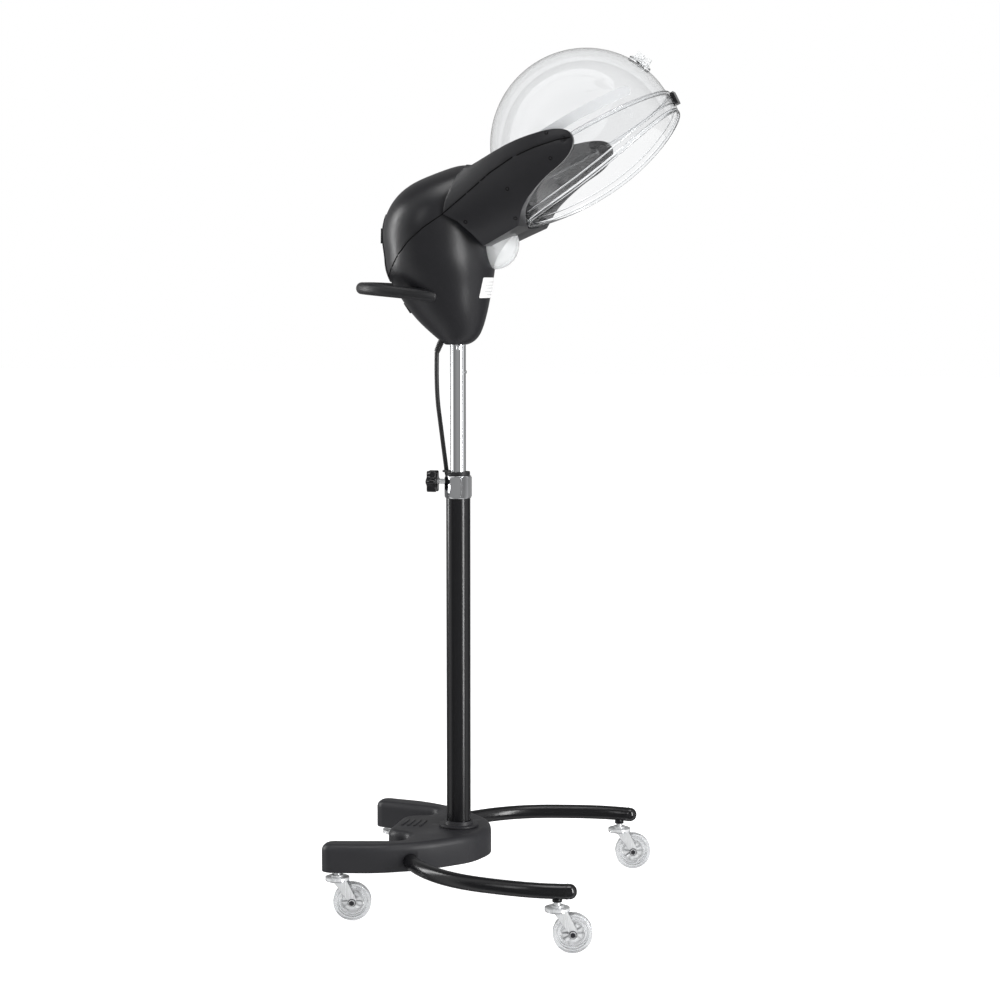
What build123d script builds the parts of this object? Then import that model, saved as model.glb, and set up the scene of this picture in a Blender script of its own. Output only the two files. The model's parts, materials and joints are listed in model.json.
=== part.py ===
from build123d import *
from math import radians, tan
import os

# Hood hair dryer on a rolling stand.  Millimetres, +Z up, the hood faces -Y.
# Shapes are drawn about the column axis and shifted by AXIS_Y when written out.
AXIS_Y = 85.5

# stand
WHEEL_R = 30.0
WHEEL_WIDTH = 19.0
TRAIL = 23.3
TRAIL_TURN = -76.7
REAR_STEM = (163.0, 156.0)
FRONT_STEM = (258.6, -217.8)
TUBE_D = 23.4
BOW_Z = 93.5
COVER_BOTTOM = 77.5
COVER_TOP = 121.5
COVER_WALL = 3.0
PLATE_T = 5.0
COLUMN_D = 39.0
COLUMN_BORE = 35.0
COLUMN_TOP = 684.0
COLLAR_Z = (656.5, 692.4)
COLLAR_ACROSS = 43.6
KNOB_Z = 682.5
KNOB_D = 38.0
KNOB_Y = (34.5, 50.0)

# mast
MAST_D = 25.0
MAST_Z = (440.0, 958.0)

# hood, a sphere about HOOD_C
HOOD_Y = -206.0
HOOD_Z = 1214.0
DOME_R = 149.0
DOME_WALL = 3.0
VISOR_IN = 150.0
VISOR_OUT = 153.0
YOKE_IN = 157.0
OPENING_DROP = 46.0
OPENING_DIP = 19.0
SHELL = 3.0
CORD_D = 7.2

OUT = "parts"
os.makedirs(OUT, exist_ok=True)


def emit(shape, name):
    """Shift a finished piece into the shared frame, name it and write it."""
    placed = Compound(children=[s for s in shape.solids()]) if len(shape.solids()) > 1 else shape.solids()[0]
    placed = placed.moved(Location((0, AXIS_Y, 0)))
    placed.label = name
    export_step(placed, os.path.join(OUT, name + ".step"))


def tube(outer, inner, low, high, x=0.0, y=0.0):
    """Upright tube or rod between two heights."""
    with BuildPart() as part:
        with BuildSketch(Plane.XY.offset(low)):
            with Locations((x, y)):
                Circle(outer / 2)
                if inner:
                    Circle(inner / 2, mode=Mode.SUBTRACT)
        extrude(amount=high - low)
    return part.part


def side_slab(points, half=320.0):
    """Solid from a closed outline in the Y-Z plane, spread both ways along X."""
    with BuildPart() as slab:
        with BuildSketch(Plane.YZ):
            with BuildLine():
                Polyline(*points, close=True)
            make_face()
        extrude(amount=half, both=True)
    return slab.part


def ball(radius):
    """Sphere about the hood centre."""
    with BuildPart() as part:
        with Locations((0, HOOD_Y, HOOD_Z)):
            Sphere(radius, rotation=(0, 90, 0))
    return part.part


# ---------------------------------------------------------------- base cover
COVER_CORNERS = [
    (0, -55),
    (-62, -38),
    (-128, 25),
    (-165, 95),
    (-180, 182),
    (-139, 182),
    (-112, 62),
    (-66, 62),
    (-58, 108),
]
COVER_ROUNDS = [(0, 90), (1, 90), (2, 190), (3, 190), (4, 18), (5, 18), (6, 21), (7, 20), (8, 31)]


def cover_outline(inset):
    """Plan of the cover: blunt nose, two arms and the foot rest between them."""
    with BuildSketch() as plan:
        with BuildLine():
            Polyline(*(COVER_CORNERS + [(-x, y) for x, y in reversed(COVER_CORNERS[1:])]), close=True)
        make_face()
        for index, radius in COVER_ROUNDS:
            x, y = COVER_CORNERS[index]
            near = [v for v in plan.vertices() if abs(abs(v.X) - abs(x)) < 0.5 and abs(v.Y - y) < 0.5]
            fillet(near, radius)
        if inset:
            offset(amount=-inset)
    return plan.sketch


def bow_path():
    """Centre line of the front leg bow, a single bent tube."""
    plan = [(-258, -233), (-262, -178), (-255, -125), (-240, -68), (-206, -12), (-140, 42)]
    half = [(x, y, BOW_Z) for x, y in plan]
    with BuildLine() as line:
        Spline(*(half + [(0, 76, BOW_Z)] + [(-x, y, z) for x, y, z in reversed(half)]))
    return line


def swept(line, outer, inner=0.0):
    """Round bar or tube along a line."""
    with BuildPart() as bar:
        with BuildLine() as path:
            add(line)
        with BuildSketch(Plane(origin=path.wires()[0] @ 0, z_dir=path.wires()[0] % 0)):
            Circle(outer / 2)
            if inner:
                Circle(inner / 2, mode=Mode.SUBTRACT)
        sweep(path=path.wires()[0])
    return bar.part


bow = swept(bow_path().line, TUBE_D, TUBE_D - 3.0)
bow_room = swept(bow_path().line, TUBE_D + 0.6)

def cover_slab(inset, height):
    """The cover's plan raised from its bottom edge."""
    with BuildPart() as slab:
        with BuildSketch(Plane.XY.offset(COVER_BOTTOM)):
            add(cover_outline(inset))
        extrude(amount=height)
    return slab.part


with BuildPart() as cover_solid:
    add(cover_slab(0, COVER_TOP - COVER_BOTTOM))
    fillet(cover_solid.faces().sort_by(Axis.Z)[-1].edges(), 11.0)
with BuildPart() as cover_room:
    add(cover_slab(COVER_WALL, COVER_TOP - COVER_BOTTOM - COVER_WALL))
    fillet(cover_room.faces().sort_by(Axis.Z)[-1].edges(), 8.0)

SEAM_PLAN = [(-75, -45), (-31, 6), (0, 46), (31, 6), (75, -45), (75, -90), (-75, -90)]
with BuildPart() as nose_zone:
    with BuildSketch(Plane.XY.offset(60)):
        with BuildLine():
            Polyline(*SEAM_PLAN, close=True)
        make_face()
    extrude(amount=80)

with BuildPart() as cover:
    add(cover_solid.part)
    add(cover_room.part, mode=Mode.SUBTRACT)
    add(bow_room, mode=Mode.SUBTRACT)
    with Locations((0, 0, 100)):
        Cylinder(COLUMN_D / 2 + 0.4, 100, mode=Mode.SUBTRACT)
    for side in (-1, 1):
        with Locations((side * REAR_STEM[0], REAR_STEM[1], COVER_BOTTOM)):
            Cylinder(9, 4, mode=Mode.SUBTRACT)

with BuildPart() as cover_front:
    add(cover.part)
    add(nose_zone.part, mode=Mode.INTERSECT)
with BuildPart() as cover_rear:
    add(cover.part)
    add(nose_zone.part, mode=Mode.SUBTRACT)
    for y in (60, 70, 80, 90):
        with Locations((0, y, COVER_TOP + 0.6)):
            Box(40, 3.4, 1.6)
emit(cover_front.part, "base_cover_front")
emit(cover_rear.part, "base_cover_rear")

with BuildPart() as plate:
    add(cover_slab(COVER_WALL + 1.0, PLATE_T))
    add(tube(58, 0, COVER_BOTTOM + PLATE_T, COVER_BOTTOM + PLATE_T + 18))
    with Locations((0, 0, COVER_BOTTOM + PLATE_T + 20)):
        Cylinder(COLUMN_D / 2, 40, mode=Mode.SUBTRACT)
    add(bow_room, mode=Mode.SUBTRACT)
emit(plate.part, "base_plate")
emit(bow, "front_leg_bow")

bow_wire = bow_path().wires()[0]


def end_cap(spot, way):
    """Rounded cap on the end of the leg bow."""
    with BuildPart() as cap:
        with BuildSketch(Plane(origin=spot, z_dir=way)):
            Circle(TUBE_D / 2)
        extrude(amount=3.0 + TUBE_D / 2)
        fillet(cap.faces().sort_by(Axis(spot, way))[-1].edges(), TUBE_D / 2 - 0.5)
    return cap.part


with BuildPart() as caps:
    add(end_cap(bow_wire @ 0, (bow_wire % 0) * -1))
    add(end_cap(bow_wire @ 1, bow_wire % 1))
emit(caps.part, "leg_end_caps")

with BuildPart() as bosses:
    for side in (-1, 1):
        with Locations((side * FRONT_STEM[0], FRONT_STEM[1], COVER_BOTTOM + 4)):
            Cylinder(7.5, 8)
    add(bow_room, mode=Mode.SUBTRACT)
emit(bosses.part, "caster_bosses")

# ------------------------------------------------------------------- casters
# left is the -X side, as seen from in front of the hood
stems = [(side * x, y) for x, y in (REAR_STEM, FRONT_STEM) for side in (-1, 1)]
names = ["rear_left", "rear_right", "front_left", "front_right"]
with BuildPart() as posts:
    for x, y in stems:
        with Locations((x, y, 62.0)):
            Cylinder(7, 3)
        with Locations((x, y, (60.4 + COVER_BOTTOM) / 2)):
            Cylinder(5, COVER_BOTTOM - 60.4)
        with Locations((x, y, 70.9)):
            Cylinder(10, 3.2)
emit(posts.part, "caster_stems")

FORK_LEG = [
    (-7, 65),
    (15, 65),
    (TRAIL + 6.5, 36),
    (TRAIL + 6.5, 24),
    (TRAIL - 5.5, 24),
    (TRAIL - 6.5, 34),
]
for (x, y), name in zip(stems, names):
    here = Location((x, y, 0), (0, 0, TRAIL_TURN))
    with BuildPart() as fork:
        with Locations((0, 0, 66.5)):
            Cylinder(19, 5)
        for side in (-1, 1):
            with BuildSketch(Plane.XZ.offset(side * 13.2)):
                with BuildLine():
                    Polyline(*FORK_LEG, close=True)
                make_face()
            extrude(amount=-side * 2.6)
        with Locations((0, 0, 64.0)):
            Cylinder(5.05, 20, mode=Mode.SUBTRACT)
    with BuildPart() as wheel:
        with Locations(Location((TRAIL, 0, WHEEL_R), (90, 0, 0))):
            Cylinder(WHEEL_R, WHEEL_WIDTH)
            fillet(wheel.edges().filter_by(GeomType.CIRCLE), 3.0)
            Cylinder(3.1, WHEEL_WIDTH + 2, mode=Mode.SUBTRACT)
    emit(wheel.part.moved(here), "caster_wheel_" + name)
    with BuildPart() as fork_and_axle:
        add(fork.part)
        with Locations(Location((TRAIL, 0, WHEEL_R), (90, 0, 0))):
            Cylinder(3.0, 26.6)
            with Locations((0, 0, 14.6), (0, 0, -14.6)):
                Cylinder(5.0, 3.2)
    emit(fork_and_axle.part.moved(here), "caster_fork_" + name)

# -------------------------------------------------------------------- column
with BuildPart() as column:
    add(tube(COLUMN_D, COLUMN_BORE, COVER_BOTTOM + PLATE_T, COLUMN_TOP))
    with Locations(Location((0, 20, KNOB_Z), (90, 0, 0))):
        Cylinder(4.1, 20, mode=Mode.SUBTRACT)
emit(column.part, "column_tube")
with BuildPart() as ring:
    add(tube(64, COLUMN_D + 0.2, COVER_TOP, COVER_TOP + 4))
    add(tube(47, COLUMN_D + 0.2, COVER_TOP + 4, COVER_TOP + 10))
emit(ring.part, "column_ring")

with BuildPart() as collar:
    with BuildSketch(Plane.XY.offset(COLLAR_Z[0])):
        RegularPolygon(COLLAR_ACROSS / 2 + 0.6, 8, rotation=22.5)
    extrude(amount=COLLAR_Z[1] - COLLAR_Z[0])
    with BuildSketch(Plane.XY.offset(COLLAR_Z[0])):
        Circle(COLUMN_D / 2)
    extrude(amount=COLUMN_TOP - COLLAR_Z[0], mode=Mode.SUBTRACT)
    with BuildSketch(Plane.XY.offset(COLUMN_TOP)):
        Circle(16.6)
    extrude(amount=20, mode=Mode.SUBTRACT)
    with Locations(Location((0, 20, KNOB_Z), (90, 0, 0))):
        Cylinder(4.1, 20, mode=Mode.SUBTRACT)
emit(collar.part, "clamp_collar")

# bush that turns with the mast and lets it slide
with BuildPart() as bush:
    add(tube(COLUMN_BORE - 0.1, MAST_D + 0.1, 600, COLUMN_TOP - 0.3))
    add(tube(33.0, MAST_D + 0.1, COLUMN_TOP - 0.3, COLLAR_Z[1] + 0.4))
    add(tube(38.0, MAST_D + 0.1, COLLAR_Z[1] + 0.4, COLLAR_Z[1] + 3.4))
emit(bush.part, "guide_bush")

with BuildPart() as screw:
    with Locations(Location((0, 26.15, KNOB_Z), (90, 0, 0))):
        Cylinder(4.0, 16.9)
emit(screw.part, "knob_screw")
with BuildPart() as knob:
    with BuildSketch(Plane.XZ.offset(-KNOB_Y[0])):
        with Locations((0, KNOB_Z)):
            Circle(KNOB_D / 2 - 4)
            with PolarLocations(KNOB_D / 2 - 5.2, 6):
                Circle(5.2)
    extrude(amount=-(KNOB_Y[1] - KNOB_Y[0]))
    with Locations(Location((0, 30.0, KNOB_Z), (90, 0, 0))):
        Cylinder(4.0, 9.2, mode=Mode.SUBTRACT)
emit(knob.part, "clamp_knob")

# ---------------------------------------------------------------------- mast
with BuildPart() as mast:
    add(tube(MAST_D, MAST_D - 3.0, *MAST_Z))
    with Locations(Location((0, -12, 858), (90, 0, 0))):
        Cylinder(2.6, 8, mode=Mode.SUBTRACT)
emit(mast.part, "mast_tube")
with BuildPart() as pip:
    with Locations(Location((0, -11.6, 858), (90, 0, 0))):
        Cylinder(2.5, 4.4)
    with Locations((0, -9.0, 858)):
        Box(8, 1.6, 8)
emit(pip.part, "detent_button")

# ------------------------------------------------------------ housing shells
LEVELS = [
    (902, -15, 19, 27),
    (911, -30, 32, 35),
    (929, -40, 53, 46),
    (950, -46, 73, 58),
    (975, -51, 91, 69),
    (1005, -56, 109, 82),
    (1040, -59, 116, 95),
    (1075, -60, 119, 103),
    (1108, -62, 112, 105),
    (1140, -66, 91, 91),
    (1162, -78, 58, 68),
    (1178, -82, 17, 40),
    (1184, -74, -18, 18),
]


def housing(skin):
    """Smooth pear-shaped body built from level ellipses, shrunk by skin."""
    with BuildPart() as blob:
        for i, (level, front, rear, half) in enumerate(LEVELS):
            shift = skin if i == 0 else (-skin if i >= len(LEVELS) - 2 else 0)
            with BuildSketch(Plane.XY.offset(level + shift)):
                with Locations((0, (front + rear) / 2)):
                    Ellipse(half - skin, (rear - front) / 2 - skin)
        loft()
    return blob.part


YOKE_SECTIONS = [(262, 98, 74), (215, 109, 84), (150, 126, 106), (80, 147, 142), (0, 166.5, 164), (-30, 168, 167)]


def hood_plane(t):
    """Plane across the neck-to-hood axis, t behind the hood centre."""
    back = Vector(0, 0.857, -0.516)
    origin = Vector(0, HOOD_Y, HOOD_Z) + back * t
    return Plane(origin=origin, x_dir=(1, 0, 0), z_dir=back)


def yoke(skin):
    """Flaring neck that opens toward the hood, shrunk by skin."""
    with BuildPart() as blob:
        for t, half, high in YOKE_SECTIONS:
            with BuildSketch(hood_plane(t)):
                Ellipse(half - skin, high - skin)
        loft()
    return blob.part


# side views, as Y and Z
SEAM_A = [
    (125, 996),
    (101, 1012),
    (79, 1040),
    (57, 1063),
    (30, 1084),
    (-2, 1106),
    (-50, 1142),
    (-83, 1167),
    (-121, 1189),
    (-158, 1203),
    (-195, 1213),
    (-235, 1219),
]
SEAM_B = [(-62, 1057), (-47, 1076), (-27, 1094), (-2, 1106), (-5, 1123), (-12, 1143), (-22, 1164), (-40, 1181)]
ARM_EDGE = [
    (-50, 1180),
    (-81, 1195),
    (-119, 1212),
    (-165, 1225.5),
    (-196, 1229.5),
    (-213, 1225),
    (-219.5, 1213),
    (-216, 1198),
    (-205, 1183),
    (-182, 1165),
    (-161, 1147),
    (-144, 1129),
    (-133, 1114),
    (-126, 1098),
    (-122, 1087),
]

above_a = side_slab(SEAM_A + [(-235, 1300), (160, 1300), (160, 996)])
behind_b = side_slab([(-62, 880), (-64, 1040)] + SEAM_B + [(-40, 1300), (200, 1300), (200, 880)])


def arm_profile(inset):
    """Side view of the arms and neck."""
    with BuildPart() as slab:
        with BuildSketch(Plane.YZ):
            with BuildLine():
                if inset:
                    Polyline(*(ARM_EDGE + SEAM_B), close=True)
                else:
                    edge = Spline(*ARM_EDGE)
                    Line(edge @ 1, SEAM_B[0])
                    Polyline(*SEAM_B)
                    Line(SEAM_B[-1], edge @ 0)
            make_face()
            if inset:
                offset(amount=-inset, kind=Kind.INTERSECTION)
        extrude(amount=320, both=True)
    return slab.part


body_outer = housing(0)
body_inner = housing(SHELL)
yoke_outer = yoke(0)
yoke_inner = yoke(SHELL)

with BuildPart() as body:
    add(body_outer)
    add(body_inner, mode=Mode.SUBTRACT)
    add(behind_b, mode=Mode.INTERSECT)
    with Locations((0, 0, 905)):
        Cylinder(MAST_D / 2 + 0.2, 30, mode=Mode.SUBTRACT)

with BuildPart() as neck_room:
    add(yoke_inner)
    add(ball(YOKE_IN + SHELL), mode=Mode.SUBTRACT)
    add(arm_profile(SHELL), mode=Mode.INTERSECT)
duct_plane = hood_plane(235)
with BuildPart() as duct_hole:
    with BuildSketch(duct_plane):
        Circle(44)
    extrude(amount=-120)
with BuildPart() as neck:
    add(yoke_outer)
    add(ball(YOKE_IN), mode=Mode.SUBTRACT)
    add(arm_profile(0), mode=Mode.INTERSECT)
    add(neck_room.part, mode=Mode.SUBTRACT)
    add(duct_hole.part, mode=Mode.SUBTRACT)
    with Locations(Location((0, HOOD_Y, HOOD_Z), (0, 90, 0))):
        Cylinder(4.0, 400, mode=Mode.SUBTRACT)

with BuildPart() as arm_top:
    add(neck.part)
    add(above_a, mode=Mode.INTERSECT)
with BuildPart() as arm_low:
    add(neck.part)
    add(above_a, mode=Mode.SUBTRACT)


def half_of(shape, side):
    """The part of a shape on one side of the middle plane."""
    with BuildPart() as part:
        add(shape)
        with Locations((side * 200, -100, 1100)):
            Box(400, 800, 800, mode=Mode.INTERSECT)
    return part.part


# intake cover over the corner between the stem front and the neck underside
intake_plane = Plane(origin=(0, -78, 1049), x_dir=(1, 0, 0), z_dir=(0, -0.85, -0.527))
with BuildPart() as intake_solid:
    with BuildSketch(intake_plane.offset(-26)):
        Circle(33)
    extrude(amount=26)
    with Locations(intake_plane.offset(-21.2)):
        Sphere(39.2)
    with BuildSketch(intake_plane.offset(-26)):
        Circle(33)
    extrude(amount=60, mode=Mode.INTERSECT)
with BuildPart() as intake_room:
    with BuildSketch(intake_plane.offset(-30)):
        Circle(31)
    extrude(amount=30)
    with Locations(intake_plane.offset(-21.2)):
        Sphere(37.2)
    with BuildSketch(intake_plane.offset(-30)):
        Circle(31)
    extrude(amount=70, mode=Mode.INTERSECT)
with BuildPart() as intake:
    add(intake_solid.part)
    add(intake_room.part, mode=Mode.SUBTRACT)
    add(body_outer, mode=Mode.SUBTRACT)
    add(arm_profile(0), mode=Mode.SUBTRACT)
emit(intake.part, "intake_cover")

# openings in the shells
PANEL_Z = (1001.0, 1108.0)
BUTTON_Z = (1020.0, 1037.0)
switch_plane = Plane(origin=(0, 79.6, 960), x_dir=(1, 0, 0), z_dir=(0, 0.83, -0.56))
with BuildPart() as button_holes:
    for z in BUTTON_Z:
        for x in (-14, 14):
            with Locations(Location((x, 110, z), (90, 0, 0))):
                Cylinder(5.4, 60)
pivot_plane = switch_plane.offset(-1.5)
with BuildPart() as switch_hole:
    with Locations(switch_plane):
        Box(20, 13, 30)
    with Locations(pivot_plane * Location((0, 0, 0), (0, 90, 0))):
        Cylinder(1.05, 24)
handle_path = [(-66, 22, 979), (-78, 62, 984), (-68, 118, 989), (-30, 150, 991), (0, 156, 991)]
with BuildPart() as handle:
    with BuildLine() as loop:
        Spline(*(handle_path + [(-x, y, z) for x, y, z in reversed(handle_path[:-1])]))
    with BuildSketch(Plane(origin=loop.wires()[0] @ 0, z_dir=loop.wires()[0] % 0, x_dir=(0, 0, 1))):
        Ellipse(9.5, 9.0)
    sweep(path=loop.wires()[0])
    add(body_outer, mode=Mode.SUBTRACT)
emit(handle.part, "handle")

with BuildPart() as rear_cover:
    add(body.part)
    add(above_a, mode=Mode.INTERSECT)
    add(button_holes.part, mode=Mode.SUBTRACT)
emit(rear_cover.part, "rear_cover")
with BuildPart() as stem:
    add(body.part)
    add(above_a, mode=Mode.SUBTRACT)
    add(switch_hole.part, mode=Mode.SUBTRACT)
    with Locations(Location((0, 28.4, 905), (23.2, 0, 0))):
        Cylinder(5.4, 40, mode=Mode.SUBTRACT)
emit(stem.part, "stem_body")
emit(arm_top.part, "arm_top_shell")
emit(half_of(arm_low.part, -1), "arm_side_left")
emit(half_of(arm_low.part, 1), "arm_side_right")

# gloss control panel wrapped on the rear cover
with BuildPart() as panel:
    add(housing(-1.6))
    add(body_outer, mode=Mode.SUBTRACT)
    with BuildSketch(Plane.XZ):
        with Locations((0, (PANEL_Z[0] + PANEL_Z[1]) / 2)):
            RectangleRounded(74, PANEL_Z[1] - PANEL_Z[0], 14)
    extrude(amount=-200, mode=Mode.INTERSECT)
    add(button_holes.part, mode=Mode.SUBTRACT)
emit(panel.part, "control_panel")
for n, (x, z) in enumerate([(x, z) for z in BUTTON_Z for x in (-14, 14)], 1):
    with BuildPart() as button:
        with Locations(Location((x, 113.0, z), (90, 0, 0))):
            Cylinder(5.0, 14.8)
        with Locations(Location((x, 105.4, z), (90, 0, 0))):
            Cylinder(6.2, 2.0)
    emit(button.part, "panel_button_%d" % n)

with BuildPart() as rocker:
    with Locations(switch_plane.offset(-0.5)):
        Box(19.0, 12.0, 5.0)
    with Locations(pivot_plane * Location((0, 0, 0), (0, 90, 0))):
        Cylinder(1.0, 22)
emit(rocker.part, "rocker_switch")
with BuildPart() as label:
    add(housing(-0.5))
    add(body_outer, mode=Mode.SUBTRACT)
    with BuildSketch(Plane.XZ.offset(30)):
        with Locations((0, 992)):
            RectangleRounded(66, 32, 2)
    extrude(amount=120, mode=Mode.INTERSECT)
emit(label.part, "label_plate")

relief_dir = Vector(0, 8, -18.7).normalized()
with BuildPart() as relief:
    with BuildSketch(Plane(origin=(0, 25.4, 912), z_dir=relief_dir)):
        Circle(5.0)
    with BuildSketch(Plane(origin=Vector(0, 25.4, 912) + relief_dir * 24, z_dir=relief_dir)):
        Circle(4.4)
    loft()
emit(relief.part, "strain_relief")
emit(tube(38, MAST_D, 912, 950), "mast_socket")

# ---------------------------------------------------------------- fan inside
fan_dir = Vector(0, 0.857, -0.516)
fan = Plane(origin=(0, 32, 1071), x_dir=(1, 0, 0), z_dir=fan_dir)
with BuildPart() as fan_case:
    with BuildSketch(fan.offset(-26)):
        Circle(62)
    extrude(amount=34)
    with BuildSketch(fan.offset(-26)):
        Circle(60)
    extrude(amount=32, mode=Mode.SUBTRACT)
    with BuildSketch(fan.offset(-10)):
        Circle(14)
    extrude(amount=40, mode=Mode.SUBTRACT)
emit(fan_case.part, "fan_case")
with BuildPart() as motor:
    with BuildSketch(fan.offset(8)):
        Circle(24)
    extrude(amount=34)
    with BuildSketch(fan.offset(-20)):
        Circle(3)
    extrude(amount=30)
emit(motor.part, "fan_motor")
with BuildPart() as impeller:
    with BuildSketch(fan.offset(-18)):
        Circle(52)
        Circle(3.05, mode=Mode.SUBTRACT)
    extrude(amount=3)
    with BuildSketch(fan.offset(-15)):
        with PolarLocations(44, 18):
            Rectangle(12, 1.6)
    extrude(amount=16)
emit(impeller.part, "fan_impeller")
with BuildPart() as heater:
    with BuildSketch(hood_plane(162)):
        Circle(41)
        Circle(38.5, mode=Mode.SUBTRACT)
        Rectangle(77, 2)
        Rectangle(2, 77)
    extrude(amount=30)
with BuildPart() as heated:
    add(heater.part)
    for t in (168, 177, 186):
        with Locations(hood_plane(t)):
            Torus(30, 1.4)
emit(heated.part, "heater")

# ---------------------------------------------------------------------- hood
C = Vector(0, HOOD_Y, HOOD_Z)
seam_up = Vector(0, 0.4955, 0.8686)
opening_out = Vector(0, -0.602, -0.798)
chord = Vector(0, 0.798, -0.602)


def half_space(point, direction, deep=500.0):
    """Large block on the side of a plane that direction points to."""
    with BuildPart() as block:
        with BuildSketch(Plane(origin=point, x_dir=(1, 0, 0), z_dir=direction)):
            Rectangle(800, 800)
        extrude(amount=deep)
    return block.part


def opening_tool():
    """Everything outside the face opening, dipping at both sides."""
    side_plane = Plane(origin=C, x_dir=(1, 0, 0), z_dir=chord)
    down = -1.0 if side_plane.y_dir.dot(opening_out) < 0 else 1.0
    with BuildPart() as tool:
        with BuildSketch(side_plane):
            with BuildLine():
                stations = (-190, -150, -100, -50, 0, 50, 100, 150, 190)
                rim = Spline(*[(x, down * (OPENING_DROP + OPENING_DIP * (x / 150.0) ** 2)) for x in stations])
                Polyline(rim @ 1, (190, down * 260), (-190, down * 260), rim @ 0)
            make_face()
        extrude(amount=260, both=True)
    return tool.part


rear_cut = half_space(C, Vector(0, 0.788, 0.6157))
above_seam = half_space(C, seam_up)
dome_shell = ball(DOME_R) - ball(DOME_R - DOME_WALL)
vent_dir = Vector(0, -0.567, 0.824)
with BuildPart() as dome:
    add(dome_shell)
    add(above_seam, mode=Mode.INTERSECT)
    with BuildSketch(Plane(origin=C + vent_dir * 145.2, z_dir=vent_dir)):
        Circle(19)
    extrude(amount=5.8)
    with Locations(Location((0, HOOD_Y, HOOD_Z), (0, 90, 0))):
        Cylinder(5.2, 400, mode=Mode.SUBTRACT)
    vent_face = Plane(origin=C + vent_dir * 140, x_dir=(1, 0, 0), z_dir=vent_dir)
    with BuildSketch(vent_face):
        Circle(2.5)
        with PolarLocations(11, 2):
            Circle(3.6)
    extrude(amount=20, mode=Mode.SUBTRACT)
emit(dome.part, "hood_dome")
with BuildPart() as skirt:
    add(dome_shell)
    add(above_seam, mode=Mode.SUBTRACT)
    add(rear_cut, mode=Mode.INTERSECT)
    add(duct_hole.part, mode=Mode.SUBTRACT)
    with BuildSketch(hood_plane(100)):
        Circle(40)
    extrude(amount=80, mode=Mode.SUBTRACT)
    with Locations(Location((0, HOOD_Y, HOOD_Z), (0, 90, 0))):
        Cylinder(5.2, 400, mode=Mode.SUBTRACT)
emit(skirt.part, "hood_rear_skirt")

visor_shell = ball(VISOR_OUT) - ball(VISOR_IN)
with BuildPart() as visor_zone:
    with Locations((0, HOOD_Y, HOOD_Z)):
        Box(360, 360, 360)
    add(half_space(C + seam_up * 5.0, seam_up), mode=Mode.SUBTRACT)
    add(rear_cut, mode=Mode.SUBTRACT)
    add(opening_tool(), mode=Mode.SUBTRACT)
    with Locations(Location((0, HOOD_Y, HOOD_Z), (0, 90, 0))):
        Cylinder(13, 380)
with BuildPart() as visor:
    add(visor_shell)
    add(visor_zone.part, mode=Mode.INTERSECT)
    with Locations(Location((0, HOOD_Y, HOOD_Z), (0, 90, 0))):
        Cylinder(4.1, 400, mode=Mode.SUBTRACT)
emit(visor.part, "visor")

with BuildPart() as pins:
    with Locations(Location((0, HOOD_Y, HOOD_Z), (0, 90, 0))):
        for side in (-1, 1):
            with Locations((0, 0, side * 154.8)):
                Cylinder(4.0, 20.4)
            with Locations((0, 0, side * 144.8)):
                Cylinder(7.5, 1.6)
emit(pins.part, "visor_pins")

clip_dir = Vector(0, -0.896, 0.444)
with BuildPart() as clip:
    with BuildSketch(Plane(origin=C + clip_dir * 153.6, x_dir=(1, 0, 0), z_dir=clip_dir)):
        RectangleRounded(30, 20, 5)
    extrude(amount=6)
    add(ball(VISOR_OUT), mode=Mode.SUBTRACT)
emit(clip.part, "visor_clip")

with BuildPart() as dial:
    dial_plane = Plane(origin=C + vent_dir * 151.1, x_dir=(1, 0, 0), z_dir=vent_dir)
    with BuildSketch(dial_plane):
        Circle(16)
        Circle(2.6, mode=Mode.SUBTRACT)
        with PolarLocations(11, 2):
            Circle(3.6, mode=Mode.SUBTRACT)
    extrude(amount=3)
    with BuildSketch(dial_plane.offset(3)):
        Rectangle(5, 26)
        Circle(2.6, mode=Mode.SUBTRACT)
    extrude(amount=10)
emit(dial.part, "vent_dial")
with BuildPart() as rivet:
    with BuildSketch(Plane(origin=C + vent_dir * 145, z_dir=vent_dir)):
        Circle(2.5)
    extrude(amount=13)
emit(rivet.part, "vent_rivet")

# ---------------------------------------------------------------------- cord
# The lead hangs from the housing to a hook on the guide bush, passes behind the
# column to a clip, and is stored as a coil in a holder on the column's back.
BACK = Vector(0.973, 0.230, 0)
ACROSS = Vector(0.230, -0.973, 0)
HOOK_AT = (22.0, 25.0)
HOOK_LOW = COLLAR_Z[1] + 3.4
HOOK_T = 3.0
CLIP_Z = (556.0, 566.0)
CLIP_OUT = 27.7
COIL_Z = 420.0
COIL_TURNS = 3
COIL_PITCH = 7.5
COIL_R = (36.0, 43.5)
COIL_OUT = 69.0


def behind(out, z):
    """Point straight behind the column, out from its axis."""
    return (BACK.X * out, BACK.Y * out, z)


with BuildPart() as ring_hook:
    with BuildSketch(Plane.XY.offset(HOOK_LOW)):
        Circle(19)
        with Locations(HOOK_AT):
            Circle(6.6)
        with BuildLine():
            Polyline((10, 16), (16, 10), (28, 22), (15, 29), close=True)
        make_face()
        Circle(MAST_D / 2 + 0.3, mode=Mode.SUBTRACT)
        with Locations(HOOK_AT):
            Circle(CORD_D / 2 + 0.7, mode=Mode.SUBTRACT)
    extrude(amount=HOOK_T)
emit(ring_hook.part, "cord_hook")


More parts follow.
